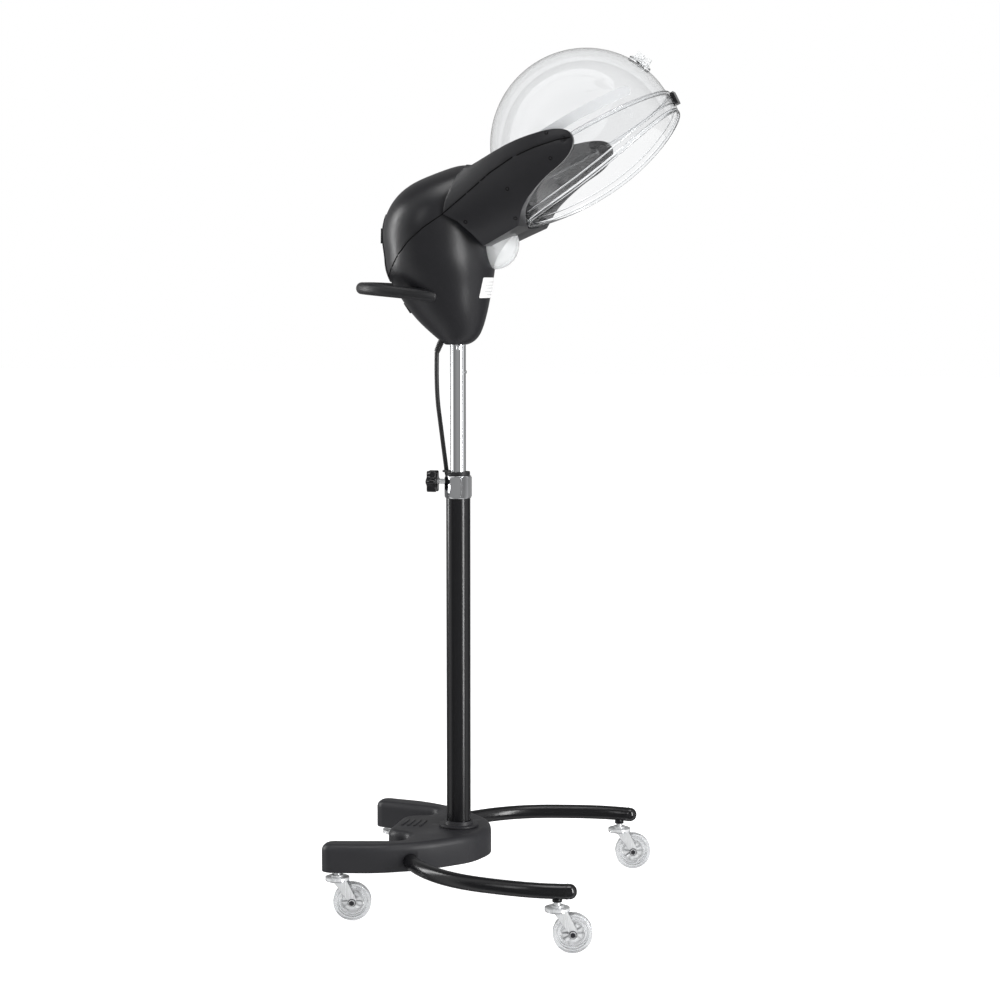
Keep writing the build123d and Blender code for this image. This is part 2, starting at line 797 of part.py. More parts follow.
def cord_run(points):
    """Round cord through corner points, each corner eased by a tangent arc."""
    radii = []
    for a, b, c in zip(points, points[1:], points[2:]):
        u = Vector(*b) - Vector(*a)
        v = Vector(*c) - Vector(*b)
        radii.append(0.45 * min(u.length, v.length) / tan(radians(u.get_angle(v) / 2)))
    with BuildPart() as run:
        with BuildLine() as line:
            FilletPolyline(*points, radius=radii)
        wire = line.wires()[0]
        with BuildSketch(Plane(origin=wire @ 0, z_dir=wire % 0)):
            Circle(CORD_D / 2)
        sweep(path=wire)
    return run.part


cord_top = Vector(0, 25.4, 912) + relief_dir * 24.0
CORD_GAP = 0.6
hook_mid = Vector(HOOK_AT[0], HOOK_AT[1], HOOK_LOW + HOOK_T / 2)
hook_top = tuple(hook_mid + Vector(0, 0, CORD_GAP))
hook_under = tuple(hook_mid - Vector(0, 0, CORD_GAP))
UPPER = [tuple(cord_top), (2.0, 37.0, 831.0), (11.0, 30.5, 762.0), hook_top]
LOWER = [hook_under, (27.5, 18.5, 654.0), (28.5, 11.5, 609.5), behind(CLIP_OUT, CLIP_Z[1] + CORD_GAP)]
STORE_Z = (540.0, 505.0, 470.0, 451.0)
PLUG_TOP = 318.0
PLUG_OUT = 38.0
coil_in = COIL_OUT - COIL_R[0]
coil_end = COIL_OUT - COIL_R[1]
coil_side = ACROSS * (-COIL_TURNS * COIL_PITCH / 2)
STORE = [
    behind(CLIP_OUT, CLIP_Z[1]),
    behind(CLIP_OUT, STORE_Z[0]),
    tuple(Vector(*behind(CLIP_OUT + 1.6, STORE_Z[1])) + coil_side * 0.3),
    tuple(Vector(*behind(coil_in, STORE_Z[2])) + coil_side * 0.85),
    tuple(Vector(*behind(coil_in, STORE_Z[3])) + coil_side),
]
TAIL = [
    tuple(Vector(*behind(coil_end, COIL_Z - 15)) + coil_side),
    tuple(Vector(*behind(coil_end + 0.6, COIL_Z - 38)) + coil_side * 0.9),
    tuple(Vector(*behind(coil_end + 8, COIL_Z - 72)) + coil_side * 0.4),
    tuple(Vector(*behind(PLUG_OUT, PLUG_TOP)) + coil_side * 0.2),
]

coil_plane = Plane(origin=behind(COIL_OUT, COIL_Z), x_dir=(0, 0, 1), z_dir=ACROSS)
coil_half = COIL_TURNS * COIL_PITCH / 2 + CORD_D / 2


def coil_ring(extra):
    """Outer shape of the stored coil, grown by extra."""
    with BuildPart() as ring:
        with BuildSketch(coil_plane):
            Circle(COIL_R[1] + CORD_D / 2 + extra)
            Circle(COIL_R[0] - CORD_D / 2 - extra, mode=Mode.SUBTRACT)
        extrude(amount=coil_half + extra, both=True)
    return ring.part


coil = coil_ring(0)
emit(coil, "cord_coil")

back_plane = Plane(origin=(0, 0, 0), x_dir=ACROSS, z_dir=(0, 0, 1))
with BuildPart() as clip_block:
    with BuildSketch(back_plane.offset(CLIP_Z[0])):
        with Locations((0, 26.0)):
            RectangleRounded(14, 16, 3)
        Circle(COLUMN_D / 2, mode=Mode.SUBTRACT)
        with Locations((0, CLIP_OUT)):
            Circle(CORD_D / 2 + 0.4, mode=Mode.SUBTRACT)
    extrude(amount=CLIP_Z[1] - CLIP_Z[0])
emit(clip_block.part, "cord_clip")
with BuildPart() as holder:
    with BuildSketch(back_plane.offset(COIL_Z - 9)):
        with Locations((0, 30.0)):
            RectangleRounded(34, 24, 3)
        Circle(COLUMN_D / 2, mode=Mode.SUBTRACT)
    extrude(amount=18)
    add(coil_ring(0.1), mode=Mode.SUBTRACT)
emit(holder.part, "coil_holder")

plug_at = Vector(*behind(PLUG_OUT, 0)) + coil_side * 0.2
with BuildPart() as plug:
    with BuildSketch(Plane.XY.offset(PLUG_TOP)):
        with Locations((plug_at.X, plug_at.Y)):
            Circle(5.5)
    with BuildSketch(Plane.XY.offset(PLUG_TOP - 20)):
        with Locations((plug_at.X, plug_at.Y)):
            Circle(8)
    loft()
    with Locations((plug_at.X, plug_at.Y, PLUG_TOP - 33)):
        Cylinder(14, 26)
    for side in (-1, 1):
        pin = plug_at + ACROSS * (side * 9.5)
        with Locations((pin.X, pin.Y, PLUG_TOP - 55)):
            Cylinder(2.4, 19)
emit(plug.part, "mains_plug")

with BuildPart() as plug_room:
    with Locations((plug_at.X, plug_at.Y, PLUG_TOP - 10)):
        Cylinder(9, 20)
for points, stop, name in (
    (UPPER, relief.part, "cord_upper"),
    (LOWER, None, "cord_lower"),
    (STORE, coil, "cord_store"),
    (TAIL, plug_room.part, "cord_tail"),
):
    with BuildPart() as stretch:
        add(cord_run(points))
        if stop is not None:
            add(stop, mode=Mode.SUBTRACT)
        if name == "cord_tail":
            add(coil, mode=Mode.SUBTRACT)
    emit(stretch.part, name)
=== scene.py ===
"""Hood hair dryer on a rolling stand: finishes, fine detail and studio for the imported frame."""
import json
import logging
from dataclasses import dataclass, field
from enum import Enum
from math import atan2, cos, degrees, hypot, pi, radians, sin, sqrt
from typing import Callable, Optional, Sequence

import bmesh
import bpy
from mathutils import Matrix, Vector

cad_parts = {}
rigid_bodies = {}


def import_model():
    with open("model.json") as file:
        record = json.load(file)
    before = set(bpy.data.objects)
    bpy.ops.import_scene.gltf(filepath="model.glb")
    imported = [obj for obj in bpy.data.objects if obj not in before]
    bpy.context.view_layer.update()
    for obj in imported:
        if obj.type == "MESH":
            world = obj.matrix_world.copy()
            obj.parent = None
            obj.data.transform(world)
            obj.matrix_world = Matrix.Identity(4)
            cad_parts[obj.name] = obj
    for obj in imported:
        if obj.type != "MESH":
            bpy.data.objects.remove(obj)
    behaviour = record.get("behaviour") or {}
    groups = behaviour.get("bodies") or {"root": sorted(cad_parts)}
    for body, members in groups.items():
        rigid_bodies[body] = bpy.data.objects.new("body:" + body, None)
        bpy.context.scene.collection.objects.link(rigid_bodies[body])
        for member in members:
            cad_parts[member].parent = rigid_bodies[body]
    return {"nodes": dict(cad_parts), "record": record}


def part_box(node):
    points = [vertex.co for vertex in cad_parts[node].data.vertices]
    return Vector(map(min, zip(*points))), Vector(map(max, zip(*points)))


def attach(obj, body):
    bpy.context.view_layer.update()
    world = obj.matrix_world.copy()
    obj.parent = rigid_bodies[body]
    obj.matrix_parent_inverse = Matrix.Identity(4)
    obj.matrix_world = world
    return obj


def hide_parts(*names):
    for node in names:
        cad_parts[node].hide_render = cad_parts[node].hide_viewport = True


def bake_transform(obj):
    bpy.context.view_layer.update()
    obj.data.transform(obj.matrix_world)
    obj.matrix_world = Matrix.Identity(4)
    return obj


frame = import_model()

log = logging.getLogger("hood_dryer")
MM = 0.001
COLUMN = Vector((0.0, 0.0855, 0.0))
BODY_OF = {node: body for body, nodes in frame["record"]["behaviour"]["bodies"].items() for node in nodes}


def at(x: float, y: float, z: float) -> Vector:
    """Point given in millimetres from the foot of the column's axis."""
    return COLUMN + Vector((x, y, z)) * MM


# ------------------------------------------------------------------ finishes
class Effect(Enum):
    """Shared surface effects, each a node group."""

    GRAIN = "moulded_grain"
    WEAR = "handling_marks"
    BRUSH = "drawn_metal"


def effect_group(effect: Effect) -> bpy.types.NodeTree:
    """Fetch a surface effect, building it on first use.

    Args:
        effect: which effect to fetch.

    Returns:
        The node group, with a Value output and, for grain, a Height output.
    """
    found = bpy.data.node_groups.get(effect.value)
    if found:
        return found
    tree = bpy.data.node_groups.new(effect.value, "ShaderNodeTree")
    face = tree.interface
    face.new_socket("Scale", in_out="INPUT", socket_type="NodeSocketFloat").default_value = 100.0
    face.new_socket("Low", in_out="INPUT", socket_type="NodeSocketFloat").default_value = 0.3
    face.new_socket("High", in_out="INPUT", socket_type="NodeSocketFloat").default_value = 0.4
    face.new_socket("Value", in_out="OUTPUT", socket_type="NodeSocketFloat")
    nodes, links = tree.nodes, tree.links
    into, out = nodes.new("NodeGroupInput"), nodes.new("NodeGroupOutput")
    coord = nodes.new("ShaderNodeTexCoord")
    stretch = nodes.new("ShaderNodeMapping")
    noise = nodes.new("ShaderNodeTexNoise")
    spread = nodes.new("ShaderNodeMapRange")
    if effect is Effect.BRUSH:
        stretch.inputs["Scale"].default_value = (1.0, 1.0, 0.03)
    noise.inputs["Detail"].default_value = 2.0 if effect is Effect.GRAIN else 6.0
    noise.inputs["Roughness"].default_value = 0.65
    spread.inputs["From Min"].default_value = 0.3
    spread.inputs["From Max"].default_value = 0.7
    links.new(coord.outputs["Object"], stretch.inputs["Vector"])
    links.new(stretch.outputs["Vector"], noise.inputs["Vector"])
    links.new(into.outputs["Scale"], noise.inputs["Scale"])
    links.new(noise.outputs["Fac"], spread.inputs["Value"])
    links.new(into.outputs["Low"], spread.inputs["To Min"])
    links.new(into.outputs["High"], spread.inputs["To Max"])
    links.new(spread.outputs["Result"], out.inputs["Value"])
    return tree


@dataclass(frozen=True)
class Finish:
    """One finish of the dryer, made into a material on first use."""

    name: str
    colour: tuple[float, float, float]
    rough: tuple[float, float] = (0.3, 0.4)
    metal: float = 0.0
    grain: float = 0.0
    grain_scale: float = 1800.0
    marks_scale: float = 30.0
    coat: float = 0.0
    coat_rough: float = 0.1
    clear: float = 0.0
    ior: float = 1.5
    brushed: bool = False
    glow: float = 0.0
    spec: float = 0.5

    def material(self) -> bpy.types.Material:
        """Return this finish's material."""
        found = bpy.data.materials.get(self.name)
        if found:
            return found
        mat = bpy.data.materials.new(self.name)
        mat.use_nodes = True
        nodes, links = mat.node_tree.nodes, mat.node_tree.links
        shader = nodes["Principled BSDF"]
        shader.inputs["Base Color"].default_value = (*self.colour, 1.0)
        shader.inputs["Metallic"].default_value = self.metal
        shader.inputs["IOR"].default_value = self.ior
        shader.inputs["Specular IOR Level"].default_value = self.spec
        shader.inputs["Coat Weight"].default_value = self.coat
        shader.inputs["Coat Roughness"].default_value = self.coat_rough
        shader.inputs["Transmission Weight"].default_value = self.clear
        if self.glow:
            shader.inputs["Emission Color"].default_value = (*self.colour, 1.0)
            shader.inputs["Emission Strength"].default_value = self.glow
        marks = nodes.new("ShaderNodeGroup")
        marks.node_tree = effect_group(Effect.BRUSH if self.brushed else Effect.WEAR)
        marks.inputs["Scale"].default_value = 900.0 if self.brushed else self.marks_scale
        marks.inputs["Low"].default_value = self.rough[0]
        marks.inputs["High"].default_value = self.rough[1]
        links.new(marks.outputs["Value"], shader.inputs["Roughness"])
        if self.grain:
            grain = nodes.new("ShaderNodeGroup")
            grain.node_tree = effect_group(Effect.GRAIN)
            grain.inputs["Scale"].default_value = self.grain_scale
            grain.inputs["Low"].default_value = 0.0
            grain.inputs["High"].default_value = 1.0
            bump = nodes.new("ShaderNodeBump")
            bump.inputs["Strength"].default_value = self.grain
            bump.inputs["Distance"].default_value = 0.0002
            links.new(grain.outputs["Value"], bump.inputs["Height"])
            links.new(bump.outputs["Normal"], shader.inputs["Normal"])
        return mat


SATIN_SHELL = Finish("satin_black_shell", (0.009, 0.009, 0.011), (0.33, 0.4), grain=0.08, spec=0.46)
GLOSS_BLACK = Finish("gloss_black_panel", (0.004, 0.004, 0.005), (0.06, 0.1), coat=0.3, coat_rough=0.05)
GRIP_BLACK = Finish("soft_grip_black", (0.008, 0.008, 0.0095), (0.42, 0.5), grain=0.2, grain_scale=1200.0)
COVER_BLACK = Finish(
    "satin_base_cover", (0.02, 0.02, 0.023), (0.4, 0.48), grain=0.15, grain_scale=1500.0, spec=0.42
)
TUBE_BLACK = Finish("gloss_powder_coat", (0.004, 0.004, 0.005), (0.2, 0.26), grain=0.08, grain_scale=300.0)
CHROME = Finish("polished_chrome", (0.86, 0.87, 0.89), (0.04, 0.08), metal=1.0)
ZINC = Finish("bright_zinc", (0.78, 0.79, 0.8), (0.2, 0.3), metal=0.45, brushed=True)
DARK_STEEL = Finish("dark_bolt_steel", (0.12, 0.12, 0.13), (0.25, 0.35), metal=1.0)
SCREW_BLACK = Finish("blackened_screw", (0.02, 0.02, 0.022), (0.22, 0.3), metal=0.6)
# Painted shadow: a near-black, dull finish laid along the shell joints and round the screw heads to stand for
# the shade in those gaps.
PAINTED_SHADOW_BLACK = Finish("seam_shadow_black", (0.002, 0.002, 0.002), (0.6, 0.7), spec=0.1)
HOOD_CLEAR = Finish("clear_hood_shell", (0.935, 0.94, 0.945), (0.0, 0.02), clear=1.0, ior=1.49)
RIM_CLEAR = Finish("clear_hood_rim", (0.95, 0.96, 0.97), (0.03, 0.08), clear=1.0, ior=1.46)
TYRE_CLEAR = Finish("clear_tyre", (0.6, 0.61, 0.62), (0.08, 0.16), clear=0.7, ior=1.42)
CORE_CLEAR = Finish(
    "milky_wheel_core", (0.8, 0.81, 0.82), (0.12, 0.25), clear=0.6, ior=1.45, grain=0.6, grain_scale=500.0
)
LENS_CLEAR = Finish("clear_intake", (0.93, 0.94, 0.945), (0.12, 0.2), clear=0.72, ior=1.4)
PALE_BAND = Finish("frosted_band", (0.72, 0.73, 0.74), (0.5, 0.6), clear=0.6, ior=1.2)
LABEL_WHITE = Finish("paper_label", (0.66, 0.66, 0.655), (0.45, 0.55), grain=0.05)
LABEL_GREY = Finish("printed_grey", (0.35, 0.36, 0.37), (0.45, 0.55))
BUTTON_GREY = Finish("button_grey", (0.2, 0.205, 0.215), (0.3, 0.4), grain=0.05)
DISPLAY = Finish("dark_display", (0.01, 0.02, 0.03), (0.03, 0.06), coat=1.0, coat_rough=0.02)
MARK_WHITE = Finish("white_print", (0.75, 0.76, 0.77), (0.4, 0.5))
LEAD_BLACK = Finish("lead_jacket", (0.016, 0.016, 0.017), (0.38, 0.48), grain=0.1)


# ------------------------------------------------------------------ workshop
def deselect() -> None:
    """Leave edit mode and clear the selection."""
    if bpy.context.object and bpy.context.object.mode != "OBJECT":
        bpy.ops.object.mode_set(mode="OBJECT")
    bpy.ops.object.select_all(action="DESELECT")


def hold(obj: bpy.types.Object) -> bpy.types.Object:
    """Make one piece the only selected, active one."""
    deselect()
    obj.select_set(True)
    bpy.context.view_layer.objects.active = obj
    return obj


def settle(obj: bpy.types.Object) -> bpy.types.Object:
    """Move a piece's place, turn and scale into its mesh."""
    hold(obj)
    bpy.ops.object.transform_apply(location=True, rotation=True, scale=True)
    return obj


def aim(obj: bpy.types.Object, place: Vector, way: Vector) -> bpy.types.Object:
    """Stand a piece modelled about the origin at a place, its Z along a direction."""
    obj.matrix_world = Matrix.Translation(place) @ way.normalized().to_track_quat("Z", "Y").to_matrix().to_4x4()
    return settle(obj)


def apply_all(obj: bpy.types.Object) -> None:
    """Apply every modifier on a piece."""
    hold(obj)
    for modifier in list(obj.modifiers):
        bpy.ops.object.modifier_apply(modifier=modifier.name)


def smooth(obj: bpy.types.Object, angle: float = 32.0) -> None:
    """Smooth a piece's shading except over edges sharper than angle."""
    hold(obj)
    bpy.ops.object.shade_smooth_by_angle(angle=radians(angle))


def bevel(obj: bpy.types.Object, width: float, segments: int = 3, angle: float = 35.0) -> None:
    """Round a piece's sharp edges.

    Args:
        obj: the piece.
        width: the bevel's width in millimetres.
        segments: steps across it.
        angle: the least edge angle that is rounded, in degrees.
    """
    mod = obj.modifiers.new("edge_round", "BEVEL")
    mod.width = width * MM
    mod.segments = segments
    mod.limit_method = "ANGLE"
    mod.angle_limit = radians(angle)
    mod.harden_normals = False
    apply_all(obj)


def dress(
    obj: bpy.types.Object, name: str, finish: Finish, body: str
) -> bpy.types.Object:
    """Name a finished piece, give it its finish and hang it on its body.

    Args:
        obj: the finished piece.
        name: its name in the model.
        finish: what it is finished in.
        body: the frame body it rides on.

    Returns:
        The piece.
    """
    obj.name = name
    obj.data.name = name
    obj.data.materials.clear()
    obj.data.materials.append(finish.material())
    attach(obj, body)
    log.info("made %s on %s", name, body)
    return obj


def refined(
    node: str, finish: Finish, round_mm: float = 0.0, angle: float = 32.0, name: str = ""
) -> bpy.types.Object:
    """Copy a frame node, merge it, round its edges and let it stand for the node.

    Args:
        node: the frame node.
        finish: the finish for the copy.
        round_mm: bevel width in millimetres, none when zero.
        angle: smoothing angle in degrees.
        name: the piece's name, the node's with "_fine" by default.

    Returns:
        The new piece.
    """
    source = frame["nodes"][node]
    copy = source.copy()
    copy.data = source.data.copy()
    copy.parent = None
    bpy.context.scene.collection.objects.link(copy)
    for key in list(copy.keys()):
        if key.startswith("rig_"):
            del copy[key]
    copy.matrix_world = Matrix.Identity(4)
    hold(copy)
    bpy.ops.object.mode_set(mode="EDIT")
    bpy.ops.mesh.select_all(action="SELECT")
    bpy.ops.mesh.remove_doubles(threshold=0.000004)
    bpy.ops.mesh.tris_convert_to_quads(face_threshold=radians(2), shape_threshold=radians(30))
    bpy.ops.object.mode_set(mode="OBJECT")
    if copy.data.has_custom_normals:
        bpy.ops.mesh.customdata_custom_splitnormals_clear()
    if round_mm:
        bevel(copy, round_mm, 2, 38.0)
    smooth(copy, angle)
    dress(copy, name or node + "_fine", finish, BODY_OF[node])
    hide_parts(node)
    return copy


def rod(radius: float, depth: float, sides: int = 48) -> bpy.types.Object:
    """Add a closed cylinder about the origin, sizes in millimetres."""
    deselect()
    bpy.ops.mesh.primitive_cylinder_add(vertices=sides, radius=radius * MM, depth=depth * MM)
    return bpy.context.object


def ring(major: float, minor: float, around: int = 96, across: int = 14) -> bpy.types.Object:
    """Add a torus about the origin, sizes in millimetres."""
    deselect()
    bpy.ops.mesh.primitive_torus_add(
        major_segments=around, minor_segments=across, major_radius=major * MM, minor_radius=minor * MM
    )
    return bpy.context.object


def block(width: float, depth: float, height: float) -> bpy.types.Object:
    """Add a box about the origin, sizes in millimetres."""
    deselect()
    bpy.ops.mesh.primitive_cube_add(size=1.0)
    obj = bpy.context.object
    obj.scale = (width * MM, depth * MM, height * MM)
    return settle(obj)


def pick_faces(obj: bpy.types.Object, test: Callable[[bmesh.types.BMFace], bool]) -> None:
    """Enter edit mode with only the faces that pass the test selected."""
    hold(obj)
    bpy.ops.object.mode_set(mode="EDIT")
    bpy.ops.mesh.select_mode(type="FACE")
    bpy.ops.mesh.select_all(action="DESELECT")
    mesh = bmesh.from_edit_mesh(obj.data)
    for face in mesh.faces:
        face.select_set(test(face))
    bmesh.update_edit_mesh(obj.data)


def dish(obj: bpy.types.Object, inset: float, sink: float, both: bool = True) -> None:
    """Inset a rod's flat ends and push the middle in, sizes in millimetres."""
    for sign in (1, -1) if both else (1,):
        pick_faces(obj, lambda f, s=sign: f.normal.z * s > 0.9 and len(f.verts) > 6)
        bpy.ops.mesh.inset(thickness=inset * MM)
        bpy.ops.transform.translate(value=(0, 0, -sign * sink * MM))
        bpy.ops.object.mode_set(mode="OBJECT")


def joined(parts: Sequence[bpy.types.Object]) -> bpy.types.Object:
    """Join pieces into one mesh."""
    hold(parts[0])
    for part in parts[1:]:
        part.select_set(True)
    if len(parts) > 1:
        bpy.ops.object.join()
    return bpy.context.object


def on_surface(target: bpy.types.Object, start: Vector, way: Vector) -> tuple[Vector, Vector]:
    """Find where a line meets a piece.

    Args:
        target: the piece.
        start: where the line starts.
        way: its direction.

    Returns:
        The point met and the surface's normal there.
    """
    hit, place, normal, _ = target.ray_cast(start, way)
    if not hit:
        raise RuntimeError(f"{target.name} isn't met from {tuple(start)}")
    return place, normal


def screw(radius: float = 2.7) -> bpy.types.Object:
    """Model a pan-head screw with a round sunk recess, its head's top at z=0.6 mm."""
    head = rod(radius, 1.6, 28)
    dish(head, radius * 0.52, 0.0, both=False)
    pick_faces(
        head,
        lambda f: f.normal.z > 0.9
        and f.calc_area() > (radius * 0.3 * MM) ** 2 * 2
        and f.calc_center_median().length < 0.002,
    )
    bpy.ops.mesh.extrude_region_move(TRANSFORM_OT_translate={"value": (0, 0, -0.5 * MM)})
    bpy.ops.object.mode_set(mode="OBJECT")
    bevel(head, 0.28, 2, 40)
    smooth(head)
    return head


# --------------------------------------------------------------------- stand
@dataclass
class Stand:
    """Base covers, leg bow, column and clamp."""

    knob_at: tuple[float, float, float] = (0.0, 42.2, 682.5)
    knob_radius: float = 19.0
    knob_lobes: int = 6

    def build(self) -> None:
        """Build every piece of the stand."""
        self.covers()
        self.tubes()
        self.collar()
        self.knob()

    def covers(self) -> None:
        """Dress the base covers and plate and add the screws below."""
        refined("base_cover_front", COVER_BLACK, 0.35)
        refined("base_cover_rear", COVER_BLACK, 0.35)
        refined("base_plate", TUBE_BLACK)
        for index, (x, y) in enumerate(((-152, 120), (152, 120), (-70, 20), (70, 20), (0, 84))):
            head = screw(3.4)
            aim(head, at(x, y, 77.2), Vector((0, 0, -1)))
            dress(head, f"plate_screw_{index + 1}", ZINC, "base")

    def tubes(self) -> None:
        """Dress the leg bow, its caps and bosses, and the column."""
        refined("front_leg_bow", TUBE_BLACK)
        refined("leg_end_caps", GLOSS_BLACK, 0.0, 40)
        refined("caster_bosses", TUBE_BLACK, 0.5)
        refined("column_tube", TUBE_BLACK)
        refined("column_ring", COVER_BLACK, 0.8)
        for side, sign in (("left", -1), ("right", 1)):
            band = ring(11.75, 0.5, 48, 10)
            aim(band, at(sign * 258, -233.3, 93.5), Vector((0, 1, 0)))
            dress(band, f"cap_ring_{side}", GLOSS_BLACK, "base")

    def collar(self) -> None:
        """Model the eight-sided chrome collar with its scalloped shoulders."""
        low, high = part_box("clamp_collar")
        height = (high.z - low.z) / MM
        nut = rod(22.2, height, 8)
        hold(nut)
        nut.rotation_euler = (0, 0, radians(22.5))
        settle(nut)
        cutter = rod(23.3, height + 8, 96)
        self.cone_ends(cutter, height)
        self.cut(nut, cutter, "INTERSECT")
        bore = rod(19.52, 27.6, 64)
        bore.location = (0, 0, (27.5 - height) / 2 * MM - 0.1 * MM)
        settle(bore)
        self.cut(nut, bore, "DIFFERENCE")
        throat = rod(16.6, 40, 64)
        throat.location = (0, 0, 20 * MM)
        settle(throat)
        self.cut(nut, throat, "DIFFERENCE")
        nut.location = at(0, 0, 656.5 + height / 2)
        settle(nut)
        bevel(nut, 0.45, 2, 25)
        smooth(nut, 28)
        dress(nut, "clamp_collar_fine", CHROME, "base")
        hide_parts("clamp_collar")
        refined("guide_bush", GRIP_BLACK, 0.5)

    @staticmethod
    def cone_ends(obj: bpy.types.Object, height: float) -> None:
        """Taper both ends of a rod so that it chamfers an eight-sided nut."""
        for sign in (1, -1):
            pick_faces(obj, lambda f, s=sign: f.normal.z * s > 0.9 and len(f.verts) > 6)
            bpy.ops.transform.translate(value=(0, 0, -sign * 9.5 * MM))
            bpy.ops.mesh.extrude_region_move(TRANSFORM_OT_translate={"value": (0, 0, sign * 5.6 * MM)})
            bpy.ops.transform.resize(value=(0.872, 0.872, 1.0))
            bpy.ops.object.mode_set(mode="OBJECT")

    @staticmethod
    def cut(obj: bpy.types.Object, tool: bpy.types.Object, how: str) -> None:
        """Combine a piece with a tool and remove the tool."""
        mod = obj.modifiers.new("cut", "BOOLEAN")
        mod.object = tool
        mod.operation = how
        mod.solver = "EXACT"
        apply_all(obj)
        bpy.data.objects.remove(tool, do_unlink=True)

    def knob(self) -> None:
        """Model the six-lobed clamp knob on its screw."""
        knob = rod(self.knob_radius, 15.0, 96)
        mesh = knob.data
        for v in mesh.vertices:
            turn = atan2(v.co.y, v.co.x)
            if v.co.xy.length > 0.001:
                size = (0.865 + 0.135 * cos(self.knob_lobes * turn)) * self.knob_radius * MM
                v.co.xy = Vector((cos(turn), sin(turn))) * size
        bevel(knob, 1.3, 3, 40)
        pick_faces(knob, lambda f: f.normal.z > 0.9 and len(f.verts) > 20)
        for scale, lift in ((0.6, 0.0), (0.96, -1.5), (0.7, 0.0), (0.95, 2.4)):
            bpy.ops.mesh.extrude_region_move(TRANSFORM_OT_translate={"value": (0, 0, lift * MM)})
            bpy.ops.transform.resize(value=(scale, scale, 1.0))
        bpy.ops.object.mode_set(mode="OBJECT")
        smooth(knob, 40)
        aim(knob, at(*self.knob_at), Vector((0, 1, 0)))
        dress(knob, "clamp_knob_fine", GLOSS_BLACK, "clamp")
        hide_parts("clamp_knob")
        shank = rod(4.0, 16.6, 48)
        aim(shank, at(0, 26.2, 682.5), Vector((0, 1, 0)))
        bevel(shank, 0.4, 2)
        smooth(shank)
        dress(shank, "knob_screw_fine", ZINC, "clamp")
        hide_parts("knob_screw")
        for turn in range(5):
            thread = ring(4.02, 0.28, 40, 8)
            aim(thread, at(0, 23.0 + turn * 1.5, 682.5), Vector((0, 1, 0)))
            dress(thread, f"knob_thread_{turn + 1}", ZINC, "clamp")


@dataclass
class Casters:
    """Four swivel casters with clear wheels."""

    trail_turn: float = -76.7
    trail: float = 23.3
    radius: float = 30.0
    width: float = 19.0
    places: dict[str, tuple[float, float]] = field(
        default_factory=lambda: {
            "rear_left": (-163.0, 156.0),
            "rear_right": (163.0, 156.0),
            "front_left": (-258.6, -217.8),
            "front_right": (258.6, -217.8),
        }
    )

    def build(self) -> None:
        """Build the four casters."""
        refined("caster_stems", ZINC, 0.3)
        turn = radians(self.trail_turn)
        trail_way = Vector((cos(turn), sin(turn), 0))
        axle_way = Vector((-sin(turn), cos(turn), 0))
        for name, (x, y) in self.places.items():
            hub = at(x, y, self.radius) + trail_way * self.trail * MM
            self.fork(name, x, y, hub, axle_way)
            self.wheel(name, hub, axle_way)

    def fork(self, name: str, x: float, y: float, hub: Vector, way: Vector) -> None:
        """Dress one fork and add its raceway and axle heads."""
        refined("caster_fork_" + name, ZINC, 0.6, name="caster_fork_fine_" + name)
        race = ring(17.2, 1.9, 64, 12)
        aim(race, at(x, y, 64.6), Vector((0, 0, 1)))
        dress(race, "raceway_" + name, CHROME, "fork_" + name)
        for sign, side in ((-1, "near"), (1, "far")):
            head = rod(4.6, 2.4, 6)
            bevel(head, 0.5, 2)
            aim(head, hub + way * sign * 15.5 * MM, way * sign)
            dress(head, f"axle_nut_{side}_{name}", DARK_STEEL, "fork_" + name)
            washer = rod(6.4, 0.7, 40)
            aim(washer, hub + way * sign * 13.7 * MM, way * sign)
            dress(washer, f"axle_washer_{side}_{name}", DARK_STEEL, "fork_" + name)

    def wheel(self, name: str, hub: Vector, way: Vector) -> None:
        """Model one clear tyre on its patterned core."""
        tyre = rod(self.radius, self.width, 96)
        bevel(tyre, 3.6, 5)
        dish(tyre, 2.6, 0.0)
        dish(tyre, 2.0, 2.2)
        self.pierce(tyre)
        smooth(tyre, 30)
        aim(tyre, hub, way)
        dress(tyre, "tyre_" + name, TYRE_CLEAR, "wheel_" + name)
        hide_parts("caster_wheel_" + name)
        core = rod(17.6, self.width - 5.5, 64)
        dish(core, 2.2, 2.6)
        bevel(core, 0.5, 2)
        smooth(core, 30)
        parts = [core]
        for step in range(10):
            spoke = block(9.5, 1.5, self.width - 6.5)
            outwards = Matrix.Translation((11.2 * MM, 0, 0))
            spoke.matrix_world = Matrix.Rotation(step * pi / 5, 4, "Z") @ outwards
            parts.append(settle(spoke))
        hub_ring = rod(6.2, self.width - 2.0, 40)
        bevel(hub_ring, 0.5, 2)
        parts.append(hub_ring)
        whole = joined(parts)
        smooth(whole, 30)
        aim(whole, hub, way)
        dress(whole, "wheel_core_" + name, CORE_CLEAR, "wheel_" + name)

    def pierce(self, tyre: bpy.types.Object) -> None:
        """Open the tyre's middle for its core."""
        tool = rod(18.2, self.width + 6, 64)
        Stand.cut(tyre, tool, "DIFFERENCE")


